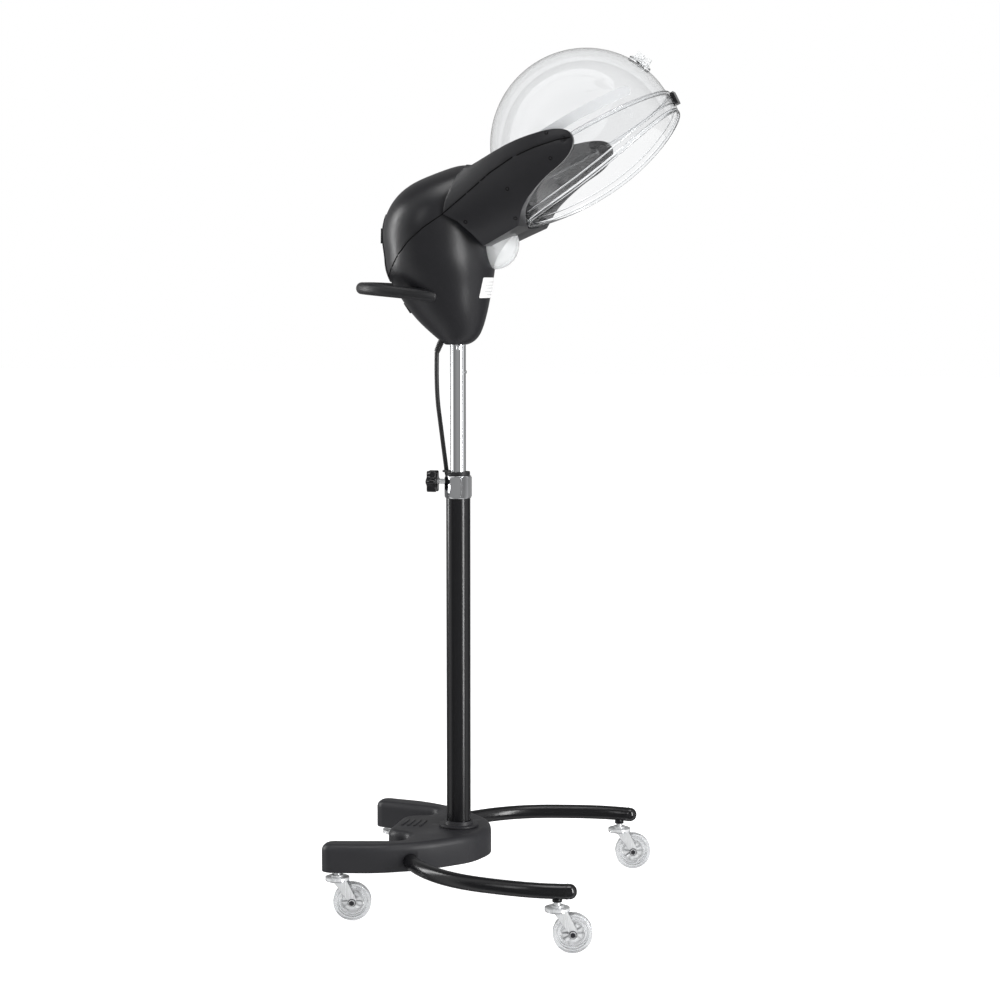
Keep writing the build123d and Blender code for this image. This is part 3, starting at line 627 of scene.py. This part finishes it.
# ---------------------------------------------------------------------- head
@dataclass
class Head:
    """Mast, housing shells, arms, handle, panel and trim."""

    arm_screws: Sequence[tuple[float, float]] = (
        (-40.0, 1093.0),
        (-112.0, 1142.0),
        (-184.0, 1186.0),
        (-120.0, 1098.0),
    )
    top_screw: tuple[float, float] = (-178.0, 1224.0)
    seam_width: float = 1.7
    seam_proud: float = 0.3
    long_seam: Sequence[tuple[float, float]] = (
        (122.0, 998.5),
        (101.0, 1012.0),
        (79.0, 1040.0),
        (57.0, 1063.0),
        (30.0, 1084.0),
        (-2.0, 1106.0),
        (-50.0, 1142.0),
        (-83.0, 1167.0),
        (-121.0, 1189.0),
        (-158.0, 1203.0),
        (-195.0, 1213.0),
        (-217.0, 1216.2),
    )

    def build(self) -> None:
        """Build every piece of the head."""
        refined("mast_tube", CHROME)
        refined("mast_socket", ZINC)
        refined("detent_button", CHROME, 0.4)
        stem = refined("stem_body", SATIN_SHELL, 0.5)
        rear = refined("rear_cover", SATIN_SHELL, 0.5)
        left = refined("arm_side_left", SATIN_SHELL, 1.2)
        right = refined("arm_side_right", SATIN_SHELL, 1.2)
        top = refined("arm_top_shell", SATIN_SHELL, 1.2)
        refined("handle", GRIP_BLACK, 0.6)
        for node in ("fan_case", "fan_motor", "fan_impeller", "heater"):
            refined(node, ZINC if node in ("fan_motor", "heater") else GRIP_BLACK)
        self.screws(left, right, top)
        self.seam_shadow_lines((rear, stem, left, right, top))
        self.ends()
        self.panel()
        self.trim(stem)

    def screws(self, left: bpy.types.Object, right: bpy.types.Object, top: bpy.types.Object) -> None:
        """Seat the shell screws in the arms."""
        for sign, arm, side in ((-1, left, "left"), (1, right, "right")):
            start_x = sign * 300.0
            for index, (y, z) in enumerate(self.arm_screws):
                place, normal = on_surface(arm, at(start_x, y, z), Vector((-sign, 0, 0)))
                self.seat(place, normal, f"arm_screw_{side}_{index + 1}")
            place, normal = on_surface(top, at(start_x, *self.top_screw), Vector((-sign, 0, 0)))
            self.seat(place, normal, f"top_screw_{side}")

    @staticmethod
    def seat(place: Vector, normal: Vector, name: str) -> None:
        """Put a screw at a place on a shell, ringed by a black torus of painted shade round its head."""
        head = screw(2.3)
        aim(head, place - normal * 0.75 * MM, normal)
        dress(head, name, SCREW_BLACK, "head")
        # Painted shade: the dark ring stands for the shadow in the gap round the screw head.
        rim = ring(2.7, 0.42, 32, 8)
        aim(rim, place, normal)
        dress(rim, name + "_rim", PAINTED_SHADOW_BLACK, "head")

    def seam_shadow_lines(self, shells: Sequence[bpy.types.Object]) -> None:
        """Lay the painted shadow line, a black bead, along the joint gap that runs along both sides of the
        shells.

        Args:
            shells: the pieces that the line may lie on.
        """
        stops = [Vector((0, y, z)) for y, z in self.long_seam]
        route = []
        for a, b in zip(stops, stops[1:]):
            steps = max(2, int((b - a).length / 1.2))
            route += [a.lerp(b, step / steps) for step in range(steps)]
        for sign, side in ((-1, "left"), (1, "right")):
            places = []
            for spot in route:
                start = at(sign * 300.0, spot.y, spot.z)
                hits = [shell.ray_cast(start, Vector((-sign, 0, 0))) for shell in shells]
                found = [place for hit, place, _, _ in hits if hit and place.x * sign > 0]
                if found:
                    outermost = max(found, key=lambda place: place.x * sign)
                    places.append(outermost + Vector((sign * self.seam_proud * MM, 0, 0)))
            line = bpy.data.curves.new("seam_path", "CURVE")
            line.dimensions = "3D"
            spline = line.splines.new("POLY")
            spline.points.add(len(places) - 1)
            for point, place in zip(spline.points, places):
                point.co = (*place, 1.0)
            line.bevel_depth = self.seam_width / 2 * MM
            line.bevel_resolution = 2
            line.use_fill_caps = True
            bead = bpy.data.objects.new("seam_path", line)
            bpy.context.scene.collection.objects.link(bead)
            hold(bead)
            bpy.ops.object.convert(target="MESH")
            bead = bpy.context.object
            smooth(bead, 60)
            # Painted shadow: the bead stands for the shade in the joint gap between the shells.
            dress(bead, f"long_seam_{side}", PAINTED_SHADOW_BLACK, "head")

    @staticmethod
    def ends() -> None:
        """Round the handle's ends where they meet the shells."""
        for sign, side in ((-1, "left"), (1, "right")):
            ball = rod(9.2, 18.0, 48)
            bevel(ball, 8.6, 8)
            smooth(ball, 60)
            aim(ball, at(sign * 66.6, 25.0, 979.4), Vector((sign * 12.0, 40.0, 5.0)))
            dress(ball, f"handle_end_{side}", GRIP_BLACK, "head")

    def panel(self) -> None:
        """Dress the control panel with its display, buttons and marks."""
        panel = refined("control_panel", GLOSS_BLACK, 0.4)
        place, normal = on_surface(panel, at(0, 400, 1074), Vector((0, -1, 0)))
        frame_piece = block(46, 24, 1.4)
        bevel(frame_piece, 0.6, 3)
        aim(frame_piece, place - normal * 0.3 * MM, normal)
        dress(frame_piece, "display_frame", GRIP_BLACK, "head")
        glass = block(41, 19, 1.0)
        bevel(glass, 0.3, 2)
        aim(glass, place + normal * 0.25 * MM, normal)
        dress(glass, "display_glass", DISPLAY, "head")
        for number in range(1, 5):
            node = f"panel_button_{number}"
            low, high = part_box(node)
            middle = (low + high) / 2
            side = Vector(((low.x - middle.x) * 1.3, 0, 0))
            face, _ = on_surface(panel, Vector((middle.x, 1.0, middle.z)) + side, Vector((0, -1, 0)))
            button = rod(5.0, 7.0, 48)
            bevel(button, 0.9, 3)
            smooth(button)
            aim(button, Vector((middle.x, face.y - 2.7 * MM, middle.z)), Vector((0, 1, 0)))
            dress(button, node + "_fine", BUTTON_GREY, BODY_OF[node])
            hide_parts(node)
            mark = block(3.6, 0.7, 0.2) if number % 2 else block(0.7, 3.6, 0.2)
            aim(mark, Vector((middle.x, face.y + 0.8 * MM, middle.z)), Vector((0, 1, 0)))
            dress(mark, f"button_mark_{number}", MARK_WHITE, BODY_OF[f"panel_button_{number}"])

    def trim(self, stem: bpy.types.Object) -> None:
        """Add label, switch frame, intake, strain relief and bottom screws."""
        label = refined("label_plate", LABEL_WHITE)
        rows = ((1001.0, 44.0), (996.0, 50.0), (991.5, 38.0), (986.0, 46.0), (981.0, 30.0))
        for row, (z, width) in enumerate(rows):
            for column in range(8):
                x = (column - 3.5) * width / 8
                place, normal = on_surface(label, at(x, -200, z), Vector((0, 1, 0)))
                dash = block(width / 8 * 0.72, 1.1, 0.12)
                aim(dash, place, normal)
                dress(dash, f"label_line_{row + 1}_{column + 1}", LABEL_GREY, "head")
        refined("rocker_switch", GLOSS_BLACK, 0.8)
        way = Vector((0, 0.83, -0.56))
        bezel = self.frame_ring(26.0, 19.0, 20.2, 13.2, 1.8)
        aim(bezel, at(0, 79.6, 960) + way * 0.9 * MM, way)
        dress(bezel, "switch_bezel", GLOSS_BLACK, "head")
        refined("intake_cover", LENS_CLEAR, 0.4)
        refined("strain_relief", LEAD_BLACK, 0.3)
        down = Vector((0, 8, -18.7)).normalized()
        for step in range(5):
            rib = ring(4.95 - 0.1 * step, 0.55, 40, 8)
            aim(rib, at(0, 25.4, 912) + down * (9.5 + 2.7 * step) * MM, down)
            dress(rib, f"relief_rib_{step + 1}", LEAD_BLACK, "head")
        for index, turn in enumerate((200, 250, 305, 20)):
            head = screw(2.0)
            way_out = Vector((cos(radians(turn)), sin(radians(turn)), 0))
            spot = at(0, 2, 901.9) + Vector((way_out.x * 20, way_out.y * 13.5, 0)) * MM
            aim(head, spot, Vector((0, 0, -1)))
            dress(head, f"bottom_screw_{index + 1}", ZINC, "head")
        ball = rod(3.4, 9.0, 32)
        bevel(ball, 2.4, 5)
        smooth(ball, 60)
        aim(ball, at(-14.6, -4.5, 897.0), Vector((0, 0, 1)))
        dress(ball, "mast_lock_pin", CHROME, "head")

    @staticmethod
    def frame_ring(
        width: float, depth: float, hole_width: float, hole_depth: float, height: float
    ) -> bpy.types.Object:
        """Model a rounded frame with a rectangular hole, sizes in millimetres."""
        body = block(width, depth, height)
        bevel(body, 0.8, 3)
        hole = block(hole_width, hole_depth, height + 4)
        Stand.cut(body, hole, "DIFFERENCE")
        smooth(body, 30)
        return body


@dataclass
class Hood:
    """Clear dome, skirt and visor with their rims, band, clip and vent."""

    centre: Vector = field(default_factory=lambda: at(0, -206, 1214))
    seam_up: Vector = field(default_factory=lambda: Vector((0, 0.4955, 0.8686)))
    opening_out: Vector = field(default_factory=lambda: Vector((0, -0.602, -0.798)))
    vent_way: Vector = field(default_factory=lambda: Vector((0, -0.567, 0.824)))
    rear_way: Vector = field(default_factory=lambda: Vector((0, 0.788, 0.6157)))
    drop: float = 46.0
    dip: float = 19.0
    lip_flatness: float = 0.44
    band_lift: float = 25.0
    band_half: float = 8.5
    band_end: float = 47.0

    def build(self) -> None:
        """Build every piece of the hood."""
        self.dome()
        self.skirt()
        self.visor()
        refined("visor_pins", SATIN_SHELL, 0.4)
        refined("visor_clip", GLOSS_BLACK, 1.0)
        refined("vent_dial", LENS_CLEAR, 0.6)
        refined("vent_rivet", ZINC, 0.4)
        self.rim()
        self.seams()
        self.band()
        self.vent()

    def shell(self, radius: float, planes: Sequence[tuple[Vector, Vector]]) -> bpy.types.Object:
        """Model a 3 mm round shell, cut back by planes.

        Args:
            radius: its outer radius in millimetres.
            planes: a point and a direction for each cut; what lies ahead is removed.

        Returns:
            The shell, centred on the hood.
        """
        deselect()
        bpy.ops.mesh.primitive_uv_sphere_add(segments=144, ring_count=96, radius=radius * MM)
        ball = bpy.context.object
        aim(ball, self.centre, Vector((1, 0, 0)))
        for point, way in planes:
            hold(ball)
            bpy.ops.object.mode_set(mode="EDIT")
            bpy.ops.mesh.select_all(action="SELECT")
            bpy.ops.mesh.bisect(plane_co=point, plane_no=way, clear_outer=True)
            bpy.ops.object.mode_set(mode="OBJECT")
        wall = ball.modifiers.new("wall", "SOLIDIFY")
        wall.thickness = 3.0 * MM
        wall.offset = -1.0
        apply_all(ball)
        return ball

    def across(self, radius: float) -> bpy.types.Object:
        """Add a rod through both hinge points."""
        return aim(rod(radius, 400.0, 64), self.centre, Vector((1, 0, 0)))

    def ahead(self, point: Vector, way: Vector) -> bpy.types.Object:
        """Add a large block that starts at a point and lies ahead along a direction."""
        return aim(block(500, 500, 300), point + way.normalized() * 150 * MM, way)

    def dome(self) -> None:
        """Model the clear dome with its vent seat."""
        dome = self.shell(149.0, [(self.centre, -self.seam_up)])
        seat = aim(rod(19.0, 5.8, 96), self.centre + self.vent_way * 148.1 * MM, self.vent_way)
        Stand.cut(dome, seat, "UNION")
        Stand.cut(dome, self.across(5.2), "DIFFERENCE")
        for sign in (-1, 1):
            spot = self.centre + self.vent_way * 148.0 * MM + Vector((sign * 11.0 * MM, 0, 0))
            Stand.cut(dome, aim(rod(3.6, 20.0, 40), spot, self.vent_way), "DIFFERENCE")
        smooth(dome, 30)
        dress(dome, "hood_dome_fine", HOOD_CLEAR, "head")
        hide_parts("hood_dome")

    def skirt(self) -> None:
        """Model the fixed clear skirt behind the visor with its duct hole."""
        skirt = self.shell(149.0, [(self.centre, self.seam_up), (self.centre, self.rear_way * -1)])
        duct = Vector((0, 0.857, -0.516))
        Stand.cut(skirt, aim(rod(44.0, 120.0, 96), self.centre + duct * 150 * MM, duct), "DIFFERENCE")
        Stand.cut(skirt, self.across(5.2), "DIFFERENCE")
        smooth(skirt, 30)
        dress(skirt, "hood_rear_skirt_fine", HOOD_CLEAR, "head")
        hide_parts("hood_rear_skirt")

    def visor(self) -> None:
        """Model the clear visor with its hinge ears and dipping edge."""
        visor = self.shell(153.0, [])
        seam = self.ahead(self.centre + self.seam_up * 5.0 * MM, self.seam_up)
        Stand.cut(seam, self.across(13.0), "DIFFERENCE")
        Stand.cut(visor, seam, "DIFFERENCE")
        rear = self.ahead(self.centre, self.rear_way)
        Stand.cut(rear, self.across(13.0), "DIFFERENCE")
        Stand.cut(visor, rear, "DIFFERENCE")
        deselect()
        bpy.ops.mesh.primitive_grid_add(x_subdivisions=60, y_subdivisions=1, size=400 * MM)
        tool = bpy.context.object
        for v in tool.data.vertices:
            v.co.z = (self.drop + self.dip * (v.co.x / MM / 150.0) ** 2) * MM
        pick_faces(tool, lambda f: True)
        bpy.ops.mesh.extrude_region_move(TRANSFORM_OT_translate={"value": (0, 0, 0.2)})
        bpy.ops.mesh.select_all(action="SELECT")
        bpy.ops.mesh.normals_make_consistent(inside=False)
        bpy.ops.object.mode_set(mode="OBJECT")
        tool.matrix_world = self.mouth_frame()
        settle(tool)
        Stand.cut(visor, tool, "DIFFERENCE")
        Stand.cut(visor, self.across(4.15), "DIFFERENCE")
        smooth(visor, 30)
        dress(visor, "visor_fine", HOOD_CLEAR, "visor")
        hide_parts("visor")

    def mouth_frame(self) -> Matrix:
        """Give the frame of the face opening: X across, Z out of the hood."""
        chord = Vector((0, -0.798, 0.602))
        turn_to = Matrix((Vector((1, 0, 0)), chord, self.opening_out)).transposed().to_4x4()
        return Matrix.Translation(self.centre) @ turn_to

    def rim(self) -> None:
        """Add the thick lip of the face opening and the step behind it."""
        self.lip("face_rim", 3.6, 152.5, 0.0)
        self.lip("face_rim_step", 1.2, 152.8, 11.0)

    def lip(self, name: str, thick: float, radius: float, back: float) -> None:
        """Bend a ring to the face opening's dipping edge.

        Args:
            name: the piece's name.
            thick: the ring's own radius in millimetres.
            radius: how far from the hood's centre it lies.
            back: how far behind the opening's edge it lies.
        """
        bead = ring(144.0, thick, 192, 16)
        for v in bead.data.vertices:
            turn = atan2(v.co.x, v.co.y)
            core = Vector((sin(turn), cos(turn), 0)) * 144.0 * MM
            off = (v.co - core) / MM
            side = 144.0 * sin(turn)
            depth = self.drop - back + self.dip * (side / 150.0) ** 2
            reach = sqrt(radius ** 2 - depth ** 2)
            out = (off.x * sin(turn) + off.y * cos(turn)) * self.lip_flatness
            v.co = Vector((sin(turn) * (reach + out), cos(turn) * (reach + out), depth + off.z)) * MM
        bead.matrix_world = self.mouth_frame()
        settle(bead)
        hold(bead)
        bpy.ops.object.mode_set(mode="EDIT")
        bpy.ops.mesh.select_all(action="SELECT")
        bpy.ops.mesh.normals_make_consistent(inside=False)
        bpy.ops.object.mode_set(mode="OBJECT")
        smooth(bead, 60)
        dress(bead, name, RIM_CLEAR, "visor")

    def half_ring(self, major: float, minor: float, lift: float, name: str, body: str, front: bool) -> None:
        """Lay a ring on the seam, whole or over the front half only."""
        hoop = ring(major, minor, 160, 12)
        aim(hoop, self.centre + self.seam_up * lift * MM, self.seam_up)
        if front:
            hold(hoop)
            bpy.ops.object.mode_set(mode="EDIT")
            bpy.ops.mesh.select_all(action="SELECT")
            bpy.ops.mesh.bisect(
                plane_co=self.centre, plane_no=(0, 0.8686, -0.4955), clear_outer=True, use_fill=True
            )
            bpy.ops.object.mode_set(mode="OBJECT")
        smooth(hoop, 50)
        dress(hoop, name, RIM_CLEAR, body)

    def seams(self) -> None:
        """Add the double flange where the visor laps the dome."""
        self.half_ring(148.4, 1.5, 1.6, "dome_flange", "head", False)
        self.half_ring(152.0, 1.1, 5.0, "visor_flange", "visor", True)

    def band(self) -> None:
        """Lay the frosted band along the dome's left side."""
        deselect()
        bpy.ops.mesh.primitive_uv_sphere_add(segments=256, ring_count=256, radius=149.25 * MM)
        strip = bpy.context.object
        turned = self.seam_up.to_track_quat("Z", "Y").to_matrix().to_4x4()
        strip.matrix_world = Matrix.Translation(self.centre) @ turned
        settle(strip)
        front = Vector((0, -0.8686, 0.4955))

        def outside(face: bmesh.types.BMFace) -> bool:
            """True for a face beyond the band's ends and edges."""
            off = face.calc_center_median() - self.centre
            lift = off.dot(self.seam_up) / MM
            turn = degrees(atan2(off.dot(front), -off.x))
            beyond = max(0.0, turn - self.band_end) * 2.6
            return not (turn > -14 and hypot(lift - self.band_lift, beyond) < self.band_half)

        pick_faces(strip, outside)
        bpy.ops.mesh.delete(type="FACE")
        bpy.ops.object.mode_set(mode="OBJECT")
        mod = strip.modifiers.new("skin", "SOLIDIFY")
        mod.thickness = 0.2 * MM
        mod.offset = 1.0
        apply_all(strip)
        smooth(strip, 30)
        dress(strip, "dome_band", PALE_BAND, "head")

    def vent(self) -> None:
        """Add the vent's rim on the dome and dark discs of painted shade in its two holes."""
        foot = ring(17.6, 1.3, 64, 10)
        aim(foot, self.centre + self.vent_way * 151.0 * MM, self.vent_way)
        dress(foot, "vent_rim", RIM_CLEAR, "head")
        for sign, side in ((-1, "left"), (1, "right")):
            # Painted shade: a dark disc fills each hole to stand for the shadow inside it.
            plug = rod(3.4, 1.2, 32)
            bevel(plug, 0.2, 2)
            spot = self.centre + self.vent_way * 149.0 * MM + Vector((sign * 11.0 * MM, 0, 0))
            aim(plug, spot, self.vent_way)
            dress(plug, f"vent_hole_shade_{side}", GRIP_BLACK, "head")


@dataclass
class Lead:
    """Mains lead: hanging run, run behind the column, stored coil and plug."""

    diameter: float = 7.2
    back: Vector = field(default_factory=lambda: Vector((0.973, 0.230, 0)))
    across: Vector = field(default_factory=lambda: Vector((0.230, -0.973, 0)))
    coil_out: float = 69.0
    coil_z: float = 420.0
    turns: int = 3
    pitch: float = 7.5
    layers: tuple[float, float] = (36.0, 43.5)

    def behind(self, out: float, z: float, side: float = 0.0) -> Vector:
        """Point behind the column: out from its axis, at a height, off to a side."""
        return COLUMN + (self.back * out + self.across * side) * MM + Vector((0, 0, z * MM))

    def run(self, points: Sequence[Vector], name: str) -> bpy.types.Object:
        """Make a smooth round cord through a route's control points."""
        line = bpy.data.curves.new(name, "CURVE")
        line.dimensions = "3D"
        spline = line.splines.new("NURBS")
        spline.points.add(len(points) - 1)
        for point, place in zip(spline.points, points):
            point.co = (*place, 1.0)
        spline.use_endpoint_u = True
        spline.order_u = 3
        spline.resolution_u = 12
        line.bevel_depth = self.diameter / 2 * MM
        line.bevel_resolution = 6
        line.use_fill_caps = True
        cord = bpy.data.objects.new(name, line)
        bpy.context.scene.collection.objects.link(cord)
        cord.data.materials.append(LEAD_BLACK.material())
        return cord

    def path_of(self, points: Sequence[Vector], name: str) -> tuple[bpy.types.Object, list[Vector]]:
        """Make a mesh cord and give the smooth line that it follows."""
        cord = self.run(points, name)
        cord.data.bevel_depth = 0.0
        bare = bpy.data.meshes.new_from_object(cord.evaluated_get(bpy.context.evaluated_depsgraph_get()))
        path = [v.co.copy() for v in bare.vertices]
        cord.data.bevel_depth = self.diameter / 2 * MM
        hold(cord)
        bpy.ops.object.convert(target="MESH")
        made = bpy.context.object
        smooth(made, 50)
        return made, path

    def build(self) -> None:
        """Build the lead from the housing to its plug."""
        relief_end = at(0, 25.4, 912) + Vector((0, 8, -18.7)).normalized() * 24.0 * MM
        hook = at(22.0, 25.0, 697.3)
        gap = Vector((0, 0, 0.6 * MM))
        points = [relief_end, at(2.0, 37.0, 831.0), at(11.0, 30.5, 762.0), hook + gap]
        upper, path = self.path_of(points, "lead_upper")
        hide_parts("cord_upper")
        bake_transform(upper)
        clip_top = self.behind(27.7, 566.6)
        points = [hook - gap, at(27.5, 18.5, 654.0), at(28.5, 11.5, 609.5), clip_top]
        lower, path = self.path_of(points, "lead_lower")
        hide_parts("cord_lower")
        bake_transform(lower)
        self.stored()
        for node in ("cord_hook", "cord_clip", "coil_holder"):
            refined(node, GRIP_BLACK, 0.5)

    def stored(self) -> None:
        """Lay the stored length: down to the coil, round it and out to the plug."""
        side = -self.turns * self.pitch / 2
        near, far = self.layers
        points = [
            self.behind(27.7, 566.0),
            self.behind(27.7, 540.0),
            self.behind(29.3, 505.0, side * 0.3),
            self.behind(self.coil_out - near, 470.0, side * 0.85),
        ]
        per_turn = 16
        reach = 1.0 / cos(pi / per_turn)
        total = self.turns * per_turn
        for layer, size in enumerate(self.layers):
            for step in range(total):
                share = (step + 0.5) / total
                turn = (step + 0.5) * 2 * pi / per_turn
                off = side + self.turns * self.pitch * (share if layer == 0 else 1 - share)
                radius = size * reach
                out = self.coil_out - radius * cos(turn)
                points.append(self.behind(out, self.coil_z - radius * sin(turn), off))
        end = self.coil_out - far
        points += [
            self.behind(end, 405.0, side),
            self.behind(end + 0.6, 382.0, side * 0.9),
            self.behind(end + 8, 348.0, side * 0.4),
            self.behind(38.0, 318.0, side * 0.2),
        ]
        cord, path = self.path_of(points, "lead_stored")
        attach(cord, "base")
        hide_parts("cord_coil", "cord_store", "cord_tail")
        plug = refined("mains_plug", LEAD_BLACK, 1.2, 40)


# -------------------------------------------------------------------- studio
@dataclass
class Studio:
    """Pale floor, soft lights and the camera."""

    camera_at: Vector = field(default_factory=lambda: at(-3599.3, -917.6, 1010.5))
    look: Vector = field(default_factory=lambda: Vector((0.96882, 0.22848, -0.09585)))
    lens: float = 83.75

    def build(self) -> None:
        """Set up floor, world, lights and camera."""
        deselect()
        bpy.ops.mesh.primitive_plane_add(size=40, location=(0, 0, -0.0004))
        floor = bpy.context.object
        floor.name = "studio_floor"
        floor.data.materials.append(Finish("pale_floor", (0.9, 0.9, 0.9), (0.8, 0.9), glow=0.78).material())
        floor.visible_glossy = False
        self.surroundings()
        self.softbox("key_light", at(-1250, -2500, 1150), (0.55, 3.0), 78.0)
        self.softbox("rim_light", at(300, 2700, 1300), (0.6, 2.2), 38.0)
        self.softbox("side_light", at(-2700, 1300, 1900), (0.5, 1.6), 9.0)
        self.softbox("top_light", at(-300, -200, 3300), (1.6, 1.6), 26.0)
        self.spare_glass()
        lens = bpy.data.cameras.new("camera")
        lens.lens = self.lens
        lens.sensor_width = 36.0
        lens.clip_end = 60.0
        eye = bpy.data.objects.new("camera", lens)
        eye.location = self.camera_at
        eye.rotation_euler = self.look.to_track_quat("-Z", "Y").to_euler()
        bpy.context.scene.collection.objects.link(eye)
        bpy.context.scene.camera = eye
        bpy.context.scene.view_settings.view_transform = "Standard"

    @staticmethod
    def spare_glass() -> None:
        """Keep the softboxes' square reflections out of the clear hood."""
        clear = bpy.data.collections.new("clear_pieces")
        for piece in bpy.context.scene.objects:
            if piece.type == "MESH" and any(m and m.name == HOOD_CLEAR.name for m in piece.data.materials):
                clear.objects.link(piece)
        for member in clear.collection_objects:
            member.light_linking.link_state = "EXCLUDE"
        for lamp in bpy.context.scene.objects:
            if lamp.type == "LIGHT":
                lamp.light_linking.receiver_collection = clear

    def surroundings(self) -> None:
        """Build a white backdrop whose reflections fall off behind the object."""
        world = bpy.data.worlds.new("soft_studio")
        world.use_nodes = True
        nodes, links = world.node_tree.nodes, world.node_tree.links
        nodes.clear()
        out = nodes.new("ShaderNodeOutputWorld")
        mix = nodes.new("ShaderNodeMixShader")
        plain, room = nodes.new("ShaderNodeBackground"), nodes.new("ShaderNodeBackground")
        plain.inputs["Color"].default_value = (1.0, 1.0, 1.0, 1.0)
        plain.inputs["Strength"].default_value = 1.0
        room.inputs["Strength"].default_value = 1.0
        path = nodes.new("ShaderNodeLightPath")
        seen = nodes.new("ShaderNodeMath")
        seen.operation = "MAXIMUM"
        coord = nodes.new("ShaderNodeTexCoord")
        along = nodes.new("ShaderNodeVectorMath")
        along.operation = "DOT_PRODUCT"
        along.inputs[1].default_value = (0.973, 0.230, 0.0)
        spread = nodes.new("ShaderNodeMapRange")
        spread.inputs["From Min"].default_value = -1.0
        ramp = nodes.new("ShaderNodeValToRGB")
        stops = ((0.0, 0.3), (0.26, 0.16), (0.42, 0.85), (0.56, 0.6), (0.72, 0.08), (0.95, 0.3))
        while len(ramp.color_ramp.elements) < len(stops):
            ramp.color_ramp.elements.new(0.5)
        for element, (place, shade) in zip(ramp.color_ramp.elements, stops):
            element.position = place
            element.color = (shade, shade, shade, 1.0)
        links.new(coord.outputs["Generated"], along.inputs[0])
        links.new(along.outputs["Value"], spread.inputs["Value"])
        links.new(spread.outputs["Result"], ramp.inputs["Fac"])
        links.new(ramp.outputs["Color"], room.inputs["Color"])
        links.new(path.outputs["Is Camera Ray"], seen.inputs[0])
        links.new(path.outputs["Is Transmission Ray"], seen.inputs[1])
        links.new(seen.outputs["Value"], mix.inputs["Fac"])
        links.new(room.outputs["Background"], mix.inputs[1])
        links.new(plain.outputs["Background"], mix.inputs[2])
        links.new(mix.outputs["Shader"], out.inputs["Surface"])
        bpy.context.scene.world = world

    @staticmethod
    def softbox(name: str, place: Vector, size: tuple[float, float], power: float) -> None:
        """Hang a soft light of a width and height that faces the hood's middle."""
        lamp = bpy.data.lights.new(name, "AREA")
        lamp.shape = "RECTANGLE"
        lamp.size, lamp.size_y = size
        lamp.energy = power
        holder = bpy.data.objects.new(name, lamp)
        holder.location = place
        holder.rotation_euler = (at(0, -60, 900) - place).to_track_quat("-Z", "Y").to_euler()
        bpy.context.scene.collection.objects.link(holder)


def main() -> None:
    """Build the dryer piece by piece."""
    logging.basicConfig(level=logging.INFO, format="%(message)s")
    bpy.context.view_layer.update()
    Stand().build()
    Casters().build()
    Head().build()
    Hood().build()
    Lead().build()
    Studio().build()
    deselect()


if __name__ == "__main__":
    main()
